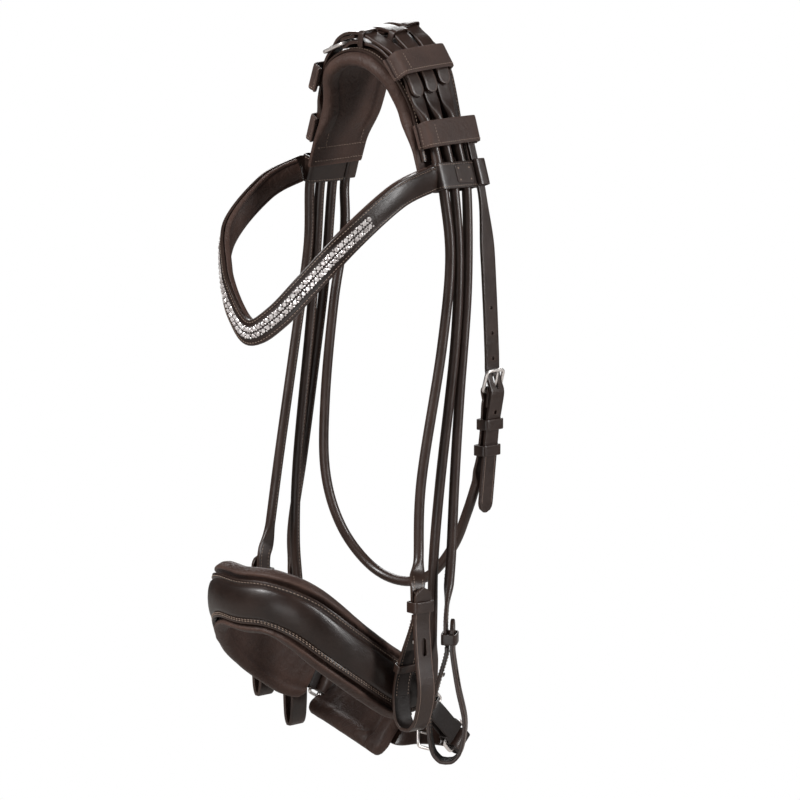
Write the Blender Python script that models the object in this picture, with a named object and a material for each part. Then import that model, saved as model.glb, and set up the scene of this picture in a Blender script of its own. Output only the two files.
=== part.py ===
"""A rolled leather double bridle, hanging by its headpiece and without bits or reins.

Frame: metres, +Z up. The origin is the middle of the headpiece's underside, on the poll. The nose
points along -Y, and the horse's left, the near side, is +X. Tables below are in millimetres.
"""

import math

import bmesh
import bpy
from mathutils import Vector

MM = 0.001
NEAR, FAR = 1, -1
SIDES = {"near": NEAR, "far": FAR}
GAP = 0.4

# The poll arch: an arc over the neck, then straight cheeks that splay outwards. The whole arch
# rises towards the back of the poll.
ARCH_RADIUS = 34.0
ARCH_TURN = math.radians(72)
ARCH_RISE = 0.15

# Layers of the headpiece, as heights above the arch.
PAD_TOP = 7.5
CROWN_THICK = 2.0
CROWN_MID = PAD_TOP + 0.55 + CROWN_THICK / 2
UNDER_STRAP = 13.2
OVER_STRAP = 16.8
ROLL_LAYER = 14.6
BAND_TOP = 20.4
PAD_END = 110.0
CROWN_END = 101.0

# Straps.
ROLL = 7.6
FLAT_WIDTH = 12.4
FLAT_THICK = 2.6
LOOP_WIDTH = 15.5
LOOP_THICK = 2.8
LINE_Y = {"bradoon": (-29.0, -15.5), "noseband": (-10.0, -3.4), "curb": (9.0, 8.8)}
LINE_RUN = 90.0
THROAT_Y = 23.2
THROAT_WIDTH = 14.0
WIRE = 2.4
FOLD = WIRE / 2 + GAP + 0.35 + FLAT_THICK / 2

# Poll buckles sit this far from the top of the poll, along the arch.
BUCKLE_S = {"bradoon": -17.0, "noseband": -9.0, "curb": -13.0}
BUCKLE_HALF = 7.5
HEEL_HEIGHT = 15.0
TOE_HEIGHT = 17.8
TIP_S = {"bradoon": 54.0, "noseband": 52.0, "curb": 47.0}
POLL_KEEPER_AT = 13.0

BAND_WIDTH = 20.0
UPPER_BAND_S = {"near": 32.0, "far": 42.0}
LOWER_BAND_S = 83.0
BROW_LOOP_S = 116.0

# Free runs of the cheeks below the headpiece, near side, top to bottom.
BRADOON_RUN = [(72, -15, -103), (76, -13, -150), (78, -24, -216), (77, -44, -311), (81, -51, -369)]
HANGER_RUN = [(72, -4, -103), (76, -4, -150), (78, -10, -216), (77, -24, -313), (75, -29, -372)]
HANGER_RUN += [(73, -28, -410), (71.2, -27, -445), (69.6, -26, -468), (69.2, -25.5, -480)]
CURB_RUN = [(72, 8.8, -103), (76, 5, -173), (79, -6, -254), (82, -14, -313), (86, -22, -373)]
LOOP_HIGH = 108.0
BIT_LOOPS = {
    "near_bradoon": (NEAR, (85.5, -63), -495.0, -4.0, 14.0, 9.0),
    "far_bradoon": (FAR, (80, -58), -495.0, 0.0, 4.6, 0.0),
    "near_curb": (NEAR, (91, -31), -524.0, 38.0, 13.5, 0.0),
    "far_curb": (FAR, (81, -24), -524.0, 0.0, 4.6, 0.0),
}
LOOP_INNER_END = 0.81
SEAT_SHARE = 0.3
STUD_SHARE = 0.63

# Browband and noseband: near half, from the middle outwards.
BROW_FAR = [(-71.5, -29.5, -90), (-77, -60, -103), (-69, -104, -133), (-46, -128, -163), (-23, -139, -187)]
BROW_NEAR = [(0, -144, -199), (22, -138, -186), (43, -126, -161), (62, -105, -131), (72.5, -64, -100)]
BROW_NEAR += [(71.5, -26.2, -89)]
BROW_WIDTH = 19.0
CRYSTAL_SHARE = 0.66
NOSE_HALF = [(0, -155, -396), (26, -150, -396), (46, -135, -406), (59, -106, -431), (62, -64, -460)]
NOSE_HALF += [(60.5, -26, -482), (60.2, -19, -486)]
NOSE_WIDTH = 33.0
NOSE_PAD_WIDTH = 49.0
MUZZLE_UP = Vector((0, 0.5, 0.866))
MUZZLE_BACK = Vector((0, 0.866, -0.5))
RING_HALF = (11.5, 5.5)

THROAT_BILLET = [(73, 24, -103), (75, 27, -137), (77.5, 28, -182), (78.8, 29, -222), (79.2, 29, -235)]
THROAT_BILLET += [(81.4, 29, -243.5), (84.4, 28.9, -251), (83.2, 28.2, -262), (81.6, 27, -275)]
THROAT_BILLET += [(80.9, 25.4, -292), (80.9, 22.6, -316), (80.9, 19.5, -342)]
THROAT_HEEL = (78.0, 29.0, -251.0)
THROAT_TOE = (82.8, 29.0, -235.0)
THROAT_ROLL = [(-72.8, 22.8, -105), (-68, 18, -140), (-66, 4.5, -193), (-66, -5, -267), (-65, -6, -324)]
THROAT_ROLL += [(-54, 0, -366), (-30, 8, -395), (0, 12, -404), (28, 15, -396), (50, 18, -371)]
THROAT_ROLL += [(64, 18, -344), (71, 20.5, -322)]
THROAT_FLAT = [(75.8, 23.6, -300), (77.0, 26.2, -278), (76.4, 28, -262)]
THROAT_HOLES = (-188.0, -207.0, -226.0, -266.5)

CHIN_LINE = [(-56, -13, -496), (-32, -17, -500), (-4, -22, -505), (31, -28, -511)]
CHIN_PAD_WIDTH = 44.0
CHIN_PAD_THICK = 9.0
CHIN_STRAP_WIDTH = 18.0
NEAR_RING_UP = Vector((0, 0.71, 0.704))
NEAR_RING_BACK = Vector((0, 0.704, -0.71))
CRANK_LINK = 27.0
FAR_TURN = [(-60.5, -5.0, -501.0), (-54, -7.0, -505.5)]
CRANK_RUN = [(40, -12, -514), (50, 0, -515)]
CRANK_LEAVES = Vector((-0.94, -0.24, 0.24))


def make_material(name, colour, roughness, metallic=0.0):
    material = bpy.data.materials.new(name)
    material.use_nodes = True
    shader = material.node_tree.nodes["Principled BSDF"]
    shader.inputs["Base Color"].default_value = (*colour, 1.0)
    shader.inputs["Roughness"].default_value = roughness
    shader.inputs["Metallic"].default_value = metallic
    return material


def spline(points, step):
    """Evenly spaced points, step millimetres apart, on a smooth curve through the given ones."""
    knots = [Vector(point) for point in points]
    knots = [2 * knots[0] - knots[1], *knots, 2 * knots[-1] - knots[-2]]
    fine = []
    for a, b, c, d in zip(knots, knots[1:], knots[2:], knots[3:]):
        for k in range(16):
            t = k / 16
            fine.append(0.5 * (2 * b + (c - a) * t + (2 * a - 5 * b + 4 * c - d) * t**2
                               + (3 * b - a - 3 * c + d) * t**3))
    fine.append(knots[-2])
    lengths = [0.0]
    for a, b in zip(fine, fine[1:]):
        lengths.append(lengths[-1] + (b - a).length)
    count = max(2, round(lengths[-1] / step))
    out = []
    i = 0
    for k in range(count + 1):
        want = lengths[-1] * k / count
        while i < len(fine) - 2 and lengths[i + 1] < want:
            i += 1
        share = (want - lengths[i]) / (lengths[i + 1] - lengths[i])
        out.append(fine[i].lerp(fine[i + 1], min(1.0, share)))
    return out


def at(value, t):
    return value(t) if callable(value) else value


def outline(width, thick, square, count):
    """A closed section: round when square is 1, nearly a rectangle when it is small."""
    points = []
    for k in range(count):
        angle = math.tau * (k + 0.5) / count
        c, s = math.cos(angle), math.sin(angle)
        points.append((width / 2 * math.copysign(abs(c) ** square, c),
                       thick / 2 * math.copysign(abs(s) ** square, s)))
    return points


def mesh_object(name, bm, material):
    bmesh.ops.recalc_face_normals(bm, faces=bm.faces)
    mesh = bpy.data.meshes.new(name)
    bm.to_mesh(mesh)
    bm.free()
    mesh.materials.append(material)
    mesh.shade_smooth()
    mesh.set_sharp_from_angle(angle=math.radians(50))
    obj = bpy.data.objects.new(name, mesh)
    bpy.context.scene.collection.objects.link(obj)
    return obj


def sweep(name, path, across, width, thick, square, material, closed=False, sides=8):
    """A strap: a section carried along a path in millimetres, its width lying along across."""
    bm = bmesh.new()
    rings = []
    last = len(path) - 1
    if sides == 4:
        square = 0.0
    for i, point in enumerate(path):
        if closed:
            tangent = path[(i + 1) % len(path)] - path[i - 1]
        else:
            tangent = path[min(i + 1, last)] - path[max(i - 1, 0)]
        tangent.normalize()
        t = i / last
        wide = Vector(at(across, t))
        wide = (wide - tangent * wide.dot(tangent)).normalized()
        tall = tangent.cross(wide)
        section = outline(at(width, t), at(thick, t), at(square, t), sides)
        rings.append([bm.verts.new((point + wide * u + tall * v) * MM) for u, v in section])
    pairs = list(zip(rings, rings[1:]))
    if closed:
        pairs.append((rings[-1], rings[0]))
    else:
        bm.faces.new(rings[0])
        bm.faces.new(rings[-1])
    for a, b in pairs:
        for k in range(sides):
            bm.faces.new((a[k], a[(k + 1) % sides], b[(k + 1) % sides], b[k]))
    return mesh_object(name, bm, material)


def set_pivot(obj, pivot):
    """Moves an object's origin to its joint's axis, leaving the shape where it is."""
    pivot = Vector(pivot) * MM
    for vertex in obj.data.vertices:
        vertex.co -= pivot
    obj.location = pivot


def arch(s, y, height):
    """The point s along the poll arch from its top, near side positive, height above the arch."""
    turn = min(abs(s) / ARCH_RADIUS, ARCH_TURN)
    run = abs(s) - turn * ARCH_RADIUS
    x = (ARCH_RADIUS + height) * math.sin(turn) + run * math.cos(turn)
    z = (ARCH_RADIUS + height) * math.cos(turn) - ARCH_RADIUS - run * math.sin(turn)
    return Vector((math.copysign(x, s), y, z + ARCH_RISE * y * math.cos(turn)))


def arch_along(s):
    return (arch(s + 1, 0, 0) - arch(s - 1, 0, 0)).normalized()


def arch_out(s):
    return (arch(s, 0, 1) - arch(s, 0, 0)).normalized()


def arch_side(s):
    """The fore-and-aft direction that lies in the arch's surface."""
    return (arch(s, 1, 0) - arch(s, 0, 0)).normalized()


def line_y(line, s):
    top, low = LINE_Y[line]
    return top + (low - top) * min(1.0, max(0.0, s) / LINE_RUN)


def oval(centre, u, v, half_u, half_v, square, count):
    """A closed path round a centre in the plane of u and v."""
    points = outline(2 * half_u, 2 * half_v, square, count)
    return [centre + u * a + v * b for a, b in points]


def ring_band(name, centre, u, v, half_u, half_v, width, thick, material, square=0.35, count=12):
    """A strap closed round a bundle: u and v span its opening, its width lies along their normal."""
    path = oval(Vector(centre), u, v, half_u, half_v, square, count)
    return sweep(name, path, u.cross(v), width, thick, 0.0, material, closed=True, sides=4)


def wire_frame(name, centre, u, v, half_u, half_v, material, wire=WIRE):
    """A rectangular metal ring with rounded corners."""
    path = oval(Vector(centre), u, v, half_u, half_v, 0.35, 12)
    return sweep(name, path, u.cross(v), wire, wire, 1.0, material, closed=True, sides=6)


def tongue(name, pivot, end, material, axis):
    """A buckle's tongue: an eye round the bar, and a pin that rests on the far bar."""
    pivot, end = Vector(pivot), Vector(end)
    reach = end - pivot
    lift = axis.cross(reach).normalized()
    if lift.dot(reach.cross(axis)) > 0:
        lift = -lift
    eye = WIRE / 2 + 0.4
    turns = 7
    path = []
    for k in range(turns + 1):
        angle = math.radians(-150 + 240 * k / turns)
        path.append(pivot - reach.normalized() * math.cos(angle) * (eye + 0.9)
                    - lift * math.sin(angle) * (eye + 0.9))
    path = path[::-1]
    path += [pivot.lerp(end, 0.5) + lift * 1.6, end]
    obj = sweep(name, path, axis, 2.0, 1.6, 0.8, material, sides=6)
    set_pivot(obj, pivot)
    return obj


def punch(obj, holes, radius, long_way=None, stretch=0.0):
    """Cuts round holes, or slots stretched along long_way, right through a strap."""
    bm = bmesh.new()
    for centre, axis in holes:
        axis = Vector(axis).normalized()
        u = Vector(long_way or (0, 0, 1))
        u = (u - axis * u.dot(axis)).normalized()
        v = axis.cross(u)
        loops = []
        for end in (-1, 1):
            loop = []
            for k in range(8):
                a = math.tau * (k + 0.5) / 8
                shift = math.copysign(stretch / 2, math.cos(a))
                spot = Vector(centre) + axis * end * 6 + u * (radius * math.cos(a) + shift)
                loop.append(bm.verts.new((spot + v * radius * math.sin(a)) * MM))
            loops.append(loop)
        bm.faces.new(loops[0])
        bm.faces.new(loops[1])
        for k in range(8):
            bm.faces.new((loops[0][k], loops[0][(k + 1) % 8], loops[1][(k + 1) % 8], loops[1][k]))
    cutter = mesh_object("cut_" + obj.name, bm, obj.data.materials[0])
    cutter.hide_render = True
    cutter.display_type = "WIRE"
    modifier = obj.modifiers.new("Holes", "BOOLEAN")
    modifier.operation = "DIFFERENCE"
    modifier.solver = "EXACT"
    modifier.object = cutter


def blend(t, start, end):
    """Rises smoothly from 0 at start to 1 at end."""
    x = min(1.0, max(0.0, (t - start) / (end - start)))
    return x * x * (3 - 2 * x)


def pad_edges(s):
    """Front and back edges of the poll pad: forward on the poll, cut back behind the ears."""
    cut = blend(abs(s), 20, 66)
    return -41 + 12 * cut, 31 - 4 * blend(abs(s), 40, PAD_END)


def build_poll_pad(material):
    """The cushion under the headpiece, one closed solid that follows the arch."""
    bm = bmesh.new()
    rings = []
    stations = 24
    for i in range(stations + 1):
        s = -PAD_END + 2 * PAD_END * i / stations
        front, back = pad_edges(s)
        section = [(front, 1.8), (front + 2, 0.2), (front + 9, 0), (back - 9, 0), (back - 2, 0.2),
                   (back, 1.8), (back, 6.8), (back - 2, 8.4), (back - 3.6, PAD_TOP),
                   (front + 3.6, PAD_TOP), (front + 2, 8.4), (front, 6.8)]
        rings.append([bm.verts.new(arch(s, y, height) * MM) for y, height in section])
    count = len(rings[0])
    bm.faces.new(rings[0])
    bm.faces.new(rings[-1])
    for a, b in zip(rings, rings[1:]):
        for k in range(count):
            bm.faces.new((a[k], a[(k + 1) % count], b[(k + 1) % count], b[k]))
    return mesh_object("poll_pad", bm, material)


def build_crown_strap(material):
    """The broad leather strap sewn along the top of the pad."""
    bm = bmesh.new()
    rings = []
    stations = 24
    for i in range(stations + 1):
        s = -CROWN_END + 2 * CROWN_END * i / stations
        front, back = pad_edges(s)
        low, high = CROWN_MID - CROWN_THICK / 2, CROWN_MID + CROWN_THICK / 2
        corners = [(front + 4.4, low), (back - 4.4, low), (back - 4.4, high), (front + 4.4, high)]
        rings.append([bm.verts.new(arch(s, y, height) * MM) for y, height in corners])
    bm.faces.new(rings[0])
    bm.faces.new(rings[-1])
    for a, b in zip(rings, rings[1:]):
        for k in range(4):
            bm.faces.new((a[k], a[(k + 1) % 4], b[(k + 1) % 4], b[k]))
    return mesh_object("crown_strap", bm, material)


def build_bands(material):
    """Four leather bridges, two a side, that keep the straps together on the headpiece."""
    foot = CROWN_MID + CROWN_THICK / 2 + GAP + 1.0
    for side, sign in SIDES.items():
        for place, s, top in (("upper", UPPER_BAND_S[side], 21.4), ("lower", LOWER_BAND_S, BAND_TOP)):
            front = line_y("bradoon", s) - FLAT_WIDTH / 2 - 3.5
            back = line_y("curb", s) + FLAT_WIDTH / 2 + 2.6
            if place == "lower":
                front += 2.2
                back = THROAT_Y + ROLL / 2 + 1.8
            knots = [(front - 4, foot), (front - 0.6, foot + 0.8), (front + 0.2, top - 3), (front + 4, top)]
            knots += [((front + back) / 2, top + 0.8)]
            knots += [(y, height) for y, height in ((back - 4, top), (back - 0.2, top - 3))]
            knots += [(back + 0.6, foot + 0.8), (back + 4, foot)]
            path = spline([arch(sign * s, y, height) for y, height in knots], 4.5)
            sweep(f"{side}_{place}_band", path, arch_along(sign * s), BAND_WIDTH, 2.0, 0.0, material,
                  sides=4)


def flat_to_roll(start, end):
    """Width, thickness and squareness functions for a strap that turns from flat to rolled."""
    def width(t):
        return FLAT_WIDTH + (ROLL - FLAT_WIDTH) * blend(t, start, end)

    def thick(t):
        return FLAT_THICK + (ROLL - FLAT_THICK) * blend(t, start, end)

    def square(t):
        return 0.4 + 0.6 * blend(t, start, end)
    return width, thick, square


def side_points(points, sign):
    return [(sign * x, y, z) for x, y, z in points]


def bar_fold(heel, along, out):
    """A strap's end folded round a bar: from the end on top, round the bar, to the layer below."""
    return [heel + along * 12 + out * 1.9, heel + along * 5 + out * 2.8, heel + out * FOLD,
            heel - along * FOLD * 0.75 + out * FOLD * 0.7, heel - along * FOLD,
            heel - along * FOLD * 0.75 - out * FOLD * 0.7, heel - out * FOLD,
            heel + along * 7 - out * 1.7]


def crown_route(line, side, sign):
    """A cheek's route over the headpiece, as far as the browband."""
    heel_s = BUCKLE_S[line] + BUCKLE_HALF
    if side == "near":
        heel = arch(heel_s, line_y(line, heel_s), HEEL_HEIGHT)
        route = bar_fold(heel, arch_along(heel_s), arch_out(heel_s))
        stations = [(heel_s + POLL_KEEPER_AT, UNDER_STRAP + 0.6), (heel_s + 26, UNDER_STRAP + 0.2)]
        stations += [(36, UNDER_STRAP), (48, UNDER_STRAP)]
    else:
        tip = TIP_S[line]
        route = [arch(s, line_y(line, s), OVER_STRAP) for s in (tip, tip - 12)]
        climb = ((36, OVER_STRAP), (26, 16.8), (19, 17.8), (14, 19.8), (9, 21.0), (2, 21.4),
                 (-4, 19.6), (-9, 15.8), (-16, UNDER_STRAP))
        for ds, height in climb:
            s = heel_s + ds
            if s < tip - 18:
                route.append(arch(s, line_y(line, s), height))
        stations = [(34, UNDER_STRAP), (48, UNDER_STRAP)]
    for s, height in stations + [(60, 14.0), (74, ROLL_LAYER), (92, ROLL_LAYER), (108, ROLL_LAYER)]:
        route.append(arch(sign * s, line_y(line, s), height))
    return route


def build_cheek(line, side, sign, free_run, material):
    """One cheek strap: flat over the headpiece, rolled down the face, flat again at its end."""
    level = Vector((0, 1, 0))
    free_points = side_points(free_run, sign)
    end_across = level
    if line != "noseband":
        base, out, end_across, rise, _ = loop_frame(f"{side}_{line}")
        end = base + rise * (LOOP_HIGH * LOOP_INNER_END + LOOP_THICK / 2 + 1.6)
        free_points += [end + Vector((0, 0, 20)) - out * 0.8, end]
    if end_across.y < 0:
        end_across = -end_across
    crown = spline(crown_route(line, side, sign), 4.0 if side == "near" else 6.0)
    free = spline([crown[-1], *free_points], 22.0)
    end_flat = spline(free[-3:], 9.0)
    path = crown + free[1:-3] + end_flat
    last = len(path) - 1
    low_start, low_end = (last - len(end_flat)) / last, (last - len(end_flat) + 2) / last
    spans = (13, 4) if side == "near" else (9, 3)
    first = len(crown) - 1 - spans[0]
    width, thick, square = flat_to_roll(first / last, (first + spans[1]) / last)
    crown_share = (len(crown) - 1) / last

    def across(t):
        if t > crown_share:
            return level.lerp(end_across, blend(t, low_start - 0.1, low_end))
        height = path[round(t * last)]
        return Vector((0, 1, ARCH_RISE * max(0.25, (height.z + ARCH_RADIUS) / (ARCH_RADIUS + 15))))

    def narrow(t):
        tip = 0.5 + 0.5 * blend(t, 0.0, 2.0 / last) if side == "far" else 1.0
        low = blend(t, low_start, low_end)
        return width(t) * tip * (1 - low) + FLAT_WIDTH * low

    def thin(t):
        low = blend(t, low_start, low_end)
        return thick(t) * (1 - low) + FLAT_THICK * low

    def squarer(t):
        low = blend(t, low_start, low_end)
        return square(t) * (1 - low) + 0.4 * low
    strap = sweep(f"{side}_{line}_cheek", path, across, narrow, thin, squarer, material, sides=6)
    heel = BUCKLE_S[line] + BUCKLE_HALF
    s, height = (heel - 1.4, 15.0) if side == "near" else (heel - 5.5, 17.4)
    long = 8.0 if side == "near" else 7.0
    punch(strap, [(arch(s, line_y(line, s), height), arch_out(s))], 1.9, arch_along(s), long)


def build_poll_buckle(line, steel):
    """Frame, tongue and leather keeper of the buckle that joins a near and a far cheek."""
    middle = BUCKLE_S[line]
    toe_s, heel_s = middle - BUCKLE_HALF, middle + BUCKLE_HALF
    y = line_y(line, middle)
    toe, heel = arch(toe_s, y, TOE_HEIGHT), arch(heel_s, y, HEEL_HEIGHT)
    u = arch_side(middle)
    v = (toe - heel).normalized()
    half = (toe - heel).length / 2
    wire_frame(f"{line}_buckle", (toe + heel) / 2, u, v, FLAT_WIDTH / 2 + 1.7, half, steel)
    tip = toe + arch_out(toe_s) * (WIRE / 2 + 1.2) - v * 0.5
    tongue(f"{line}_tongue", heel, tip, steel, u)


def build_poll_keeper(line, material):
    heel = BUCKLE_S[line] + BUCKLE_HALF
    s = heel + POLL_KEEPER_AT
    u, v = arch_side(s), arch_out(s)
    low, high = 10.9, 22.9
    centre = arch(s, line_y(line, s), (low + high) / 2)
    ring_band(f"{line}_poll_keeper", centre, u, v, FLAT_WIDTH / 2 + 1.4, (high - low) / 2, 5.0, 1.2,
              material)


def loop_frame(name):
    """A bit loop's base point, outward, width and rising directions, and half its opening."""
    sign, (x, y), bottom, yaw, half, lean = BIT_LOOPS[name]
    turn = math.radians(yaw)
    out = Vector((sign * math.cos(turn), math.sin(turn), 0))
    wide = Vector((-sign * math.sin(turn), math.cos(turn), 0))
    rise = Vector((0, 0, 1)) + out * lean / LOOP_HIGH
    return Vector((sign * x, y, bottom)), out, wide, rise, half


def loop_path(name):
    """The billet's middle line: from its tip down the outside, under the bit, and up the inside."""
    base, out, _, rise, half = loop_frame(name)
    flat = half * SEAT_SHARE
    down = [(4.2, 1.0), (4.2, 0.82), (4.6, 0.74), (max(4.4, half * 0.62), 0.52), (half, 0.28)]
    down += [(half * 0.84, 0.10), (flat * 2.1, 0.012)]
    up = [(-flat * 2.1, 0.012), (-half * 0.84, 0.10), (-half * 0.98, 0.28), (-half * 0.55, 0.52)]
    up += [(-0.6, 0.74), (0, LOOP_INNER_END)]
    seat = LOOP_THICK / 2

    def points(rows):
        return [base + out * u + rise * (seat + LOOP_HIGH * share) for u, share in rows]
    bed = points([(flat * 1.1, 0), (flat * 0.5, 0), (-flat * 0.5, 0), (-flat * 1.1, 0)])
    return spline(points(down), 9.0) + bed + spline(points(up), 9.0)


def build_bit_loop(name, leather):
    """The billet that wraps the bit ring, from its slotted tip round to the cheek's end."""
    base, out, wide, rise, half = loop_frame(name)

    def width(t):
        return LOOP_WIDTH * (0.62 + 0.38 * blend(t, 0.0, 0.05)) * (1 - 0.3 * blend(t, 0.8, 1.0))
    loop = sweep(f"{name}_loop", loop_path(name), wide, width, LOOP_THICK, 0.4, leather)
    slot = base + out * (half * 0.5 + 5.0) + rise * LOOP_HIGH * 0.6
    punch(loop, [(slot, out)], 2.2, (0, 0, 1), 9.0)


def build_loop_fittings(name, leather, steel):
    """The stitched keeper at the tip, the runner on the inner strand, and the hook stud."""
    base, out, wide, rise, _ = loop_frame(name)
    centre = base + rise * (LOOP_HIGH * 0.87 + 1) + out * 2.1
    ring_band(f"{name}_keeper", centre, wide, out, LOOP_WIDTH / 2 + 1.2, 5.4, 8.0, 1.4, leather)
    path = loop_path(name)
    inner = path[len(path) // 2:]
    height = base.z + LOOP_HIGH * 0.4
    at_runner = min(range(1, len(inner) - 1), key=lambda i: abs(inner[i].z - height))
    lean = (inner[at_runner + 1] - inner[at_runner - 1]).normalized()
    runner = ring_band(f"{name}_runner", inner[at_runner], wide, wide.cross(lean).normalized(),
                       LOOP_WIDTH / 2 + 1.1, 3.0, 6.0, 1.2, leather)
    set_pivot(runner, inner[at_runner])
    height = base.z + LOOP_HIGH * STUD_SHARE
    at_stud = min(range(1, len(inner) - 1), key=lambda i: abs(inner[i].z - height))
    lean = (inner[at_stud + 1] - inner[at_stud - 1]).normalized()
    face = wide.cross(lean).normalized()
    if face.dot(out) < 0:
        face = -face
    foot = inner[at_stud] + face * (LOOP_THICK / 2 + GAP)
    sweep(f"{name}_stud", [foot, foot + face * 1.4], wide, 3.4, 3.4, 1.0, steel, sides=6)


def mirrored(half):
    """A whole line from its near half: far end, middle, near end."""
    return [(-x, y, z) for x, y, z in half[:0:-1]] + list(half)


def outward(path):
    """For each point, the level direction that faces away from the head."""
    out = []
    for i, point in enumerate(path):
        tangent = path[min(i + 1, len(path) - 1)] - path[max(i - 1, 0)]
        level = Vector((tangent.y, -tangent.x, 0)).normalized()
        out.append(level)
    return out


def lift_path(path, normals, distance):
    return [point + normal * distance for point, normal in zip(path, normals)]


def across_of(path, normals):
    """The width direction of a band, square to its path and to its outward face."""
    rows = []
    for i, normal in enumerate(normals):
        tangent = path[min(i + 1, len(path) - 1)] - path[max(i - 1, 0)]
        rows.append(tangent.cross(normal).normalized())

    def across(t):
        return rows[round(t * (len(rows) - 1))]
    return across


def build_browband(leather, lining, crystal):
    """The swooping browband, its padded lining and the strip of stones in its middle."""
    path = spline(BROW_FAR + BROW_NEAR, 13.0)
    normals = outward(path)
    sweep("browband", path, across_of(path, normals), BROW_WIDTH, 2.6, 0.0, leather, sides=4)
    inner = lift_path(path, normals, -(1.3 + 1.6 + 1.7))
    trimmed = inner[2:-2]
    sweep("browband_lining", trimmed, across_of(trimmed, normals[2:-2]), BROW_WIDTH - 1, 3.4, 0.0, lining,
          sides=4)
    keep = round(len(path) * (1 - CRYSTAL_SHARE) / 2)
    strip = lift_path(path, normals, 1.3 + GAP + 1.6)[keep:-keep]
    sweep("crystal_strip", strip, across_of(strip, normals[keep:-keep]), 10.0, 1.6, 0.0, crystal,
          sides=4)


def build_brow_loops(leather):
    """At each side, the browband's end round the cheeks and a small loop round the throatlash."""
    for side, sign in SIDES.items():
        s = sign * BROW_LOOP_S
        u, v = Vector((0, 1, 0)), arch_out(s)
        centre = arch(s, -3.4, ROLL_LAYER)
        ring_band(f"{side}_brow_loop", centre, u, v, 18.8, 5.9, 20.0, 1.6, leather, 0.3, 16)
        centre = arch(s, THROAT_Y + 0.4, ROLL_LAYER)
        ring_band(f"{side}_throat_loop", centre, u, v, 5.6, 5.6, 20.0, 1.2, leather, 0.5)


def build_throatlash(leather, steel):
    """The flat near billet with its holes, the rolled strap under the throat, and their buckle."""
    level = Vector((0, 1, 0))
    top = [arch(s, THROAT_Y, ROLL_LAYER - 0.4) for s in (92, 104, 116)]
    path = spline([*top, *THROAT_BILLET], 10.0)

    def width(t):
        grow = 7.0 + (THROAT_WIDTH - 7.0) * blend(t, 0.14, 0.3)
        return grow * (1 - 0.45 * blend(t, 0.97, 1.0))
    billet = sweep("throatlash_billet", path, level, width, 2.6, 0.4, leather, sides=6)
    spots = []
    for z in THROAT_HOLES:
        near = min(path, key=lambda point: abs(point.z - z))
        spots.append((Vector((near.x, near.y, z)), (1, 0, 0)))
    punch(billet, spots, 1.4)
    heel, toe = Vector(THROAT_HEEL), Vector(THROAT_TOE)
    slot = heel.lerp(toe, 0.45) + Vector((1.5, 0, 0))
    punch(billet, [(slot, (1, 0, 0))], 1.9, (0, 0, 1), 6.0)

    top = [arch(-s, THROAT_Y, ROLL_LAYER) for s in (92, 104, 116)]
    rolled = spline([*top, *THROAT_ROLL], 19.0)
    fold = bar_fold(heel, Vector((0, 0, -1)), Vector((1, 0, 0)))[::-1]
    flat = spline([rolled[-1], *[Vector(point) for point in THROAT_FLAT], *fold], 3.8)
    roll = rolled + flat[1:]
    last = len(roll) - 1
    start, end = (len(rolled) - 1) / last, (len(rolled) + 3) / last

    def roll_width(t):
        return ROLL + (THROAT_WIDTH - ROLL) * blend(t, start, end)

    def roll_thick(t):
        return ROLL + (2.4 - ROLL) * blend(t, start, end)

    def roll_square(t):
        return 1.0 - 0.6 * blend(t, start, end)
    strap = sweep("throatlash", roll, level, roll_width, roll_thick, roll_square, leather, sides=6)
    punch(strap, [(heel + Vector((0, 0, 1.4)), (1, 0, 0))], 1.9, (0, 0, 1), 8.0)
    v = (toe - heel).normalized()
    wire_frame("throatlash_buckle", (heel + toe) / 2, level, v, THROAT_WIDTH / 2 + 1.9,
               (toe - heel).length / 2, steel)
    out = v.cross(level)
    if out.x < 0:
        out = -out
    tongue("throatlash_tongue", heel, toe + out * (WIRE / 2 + 1.2) - v * 0.5, steel, level)
    for name, spot in (("throatlash_keeper", (79.4, 26.6, -275.5)), ("throatlash_runner", (78.6, 24.6, -295))):
        band = ring_band(name, spot, level, Vector((1, 0, 0)), THROAT_WIDTH / 2 + 2.2, 5.4, 8.0, 1.4,
                         leather)
        set_pivot(band, spot)


def ring_seat(side):
    """A noseband ring's front bar, tucked behind the noseband's end, and the ring's directions."""
    x, y, z = NOSE_HALF[-1]
    bar = Vector((SIDES[side] * (x + 0.9), y, z)) - MUZZLE_BACK * 4
    if side == "near":
        return bar, NEAR_RING_UP, NEAR_RING_BACK
    return bar, MUZZLE_UP, MUZZLE_BACK


def build_noseband(leather, padding, steel):
    """The raised noseband on its padding, and the steel rings at its ends."""
    path = spline(mirrored(NOSE_HALF), 15.0)
    normals = outward(path)

    def taper(t):
        return NOSE_WIDTH - 20 * blend(abs(2 * t - 1), 0.86, 0.97)

    def bulge(t):
        return 7.0 - 4.0 * blend(abs(2 * t - 1), 0.86, 0.97)
    front = lift_path(path, normals, 4.2)
    sweep("noseband", front, across_of(path, normals), taper, bulge, 0.7, leather)
    back = lift_path(path, normals, -5.4)[1:-1]
    sweep("noseband_padding", back, across_of(back, normals[1:-1]), NOSE_PAD_WIDTH, 9.0, 0.55, padding)
    for side in SIDES:
        bar, up, back = ring_seat(side)
        ring = wire_frame(f"{side}_noseband_ring", bar + back * RING_HALF[1], up, back, *RING_HALF, steel)
        set_pivot(ring, bar)


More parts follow.
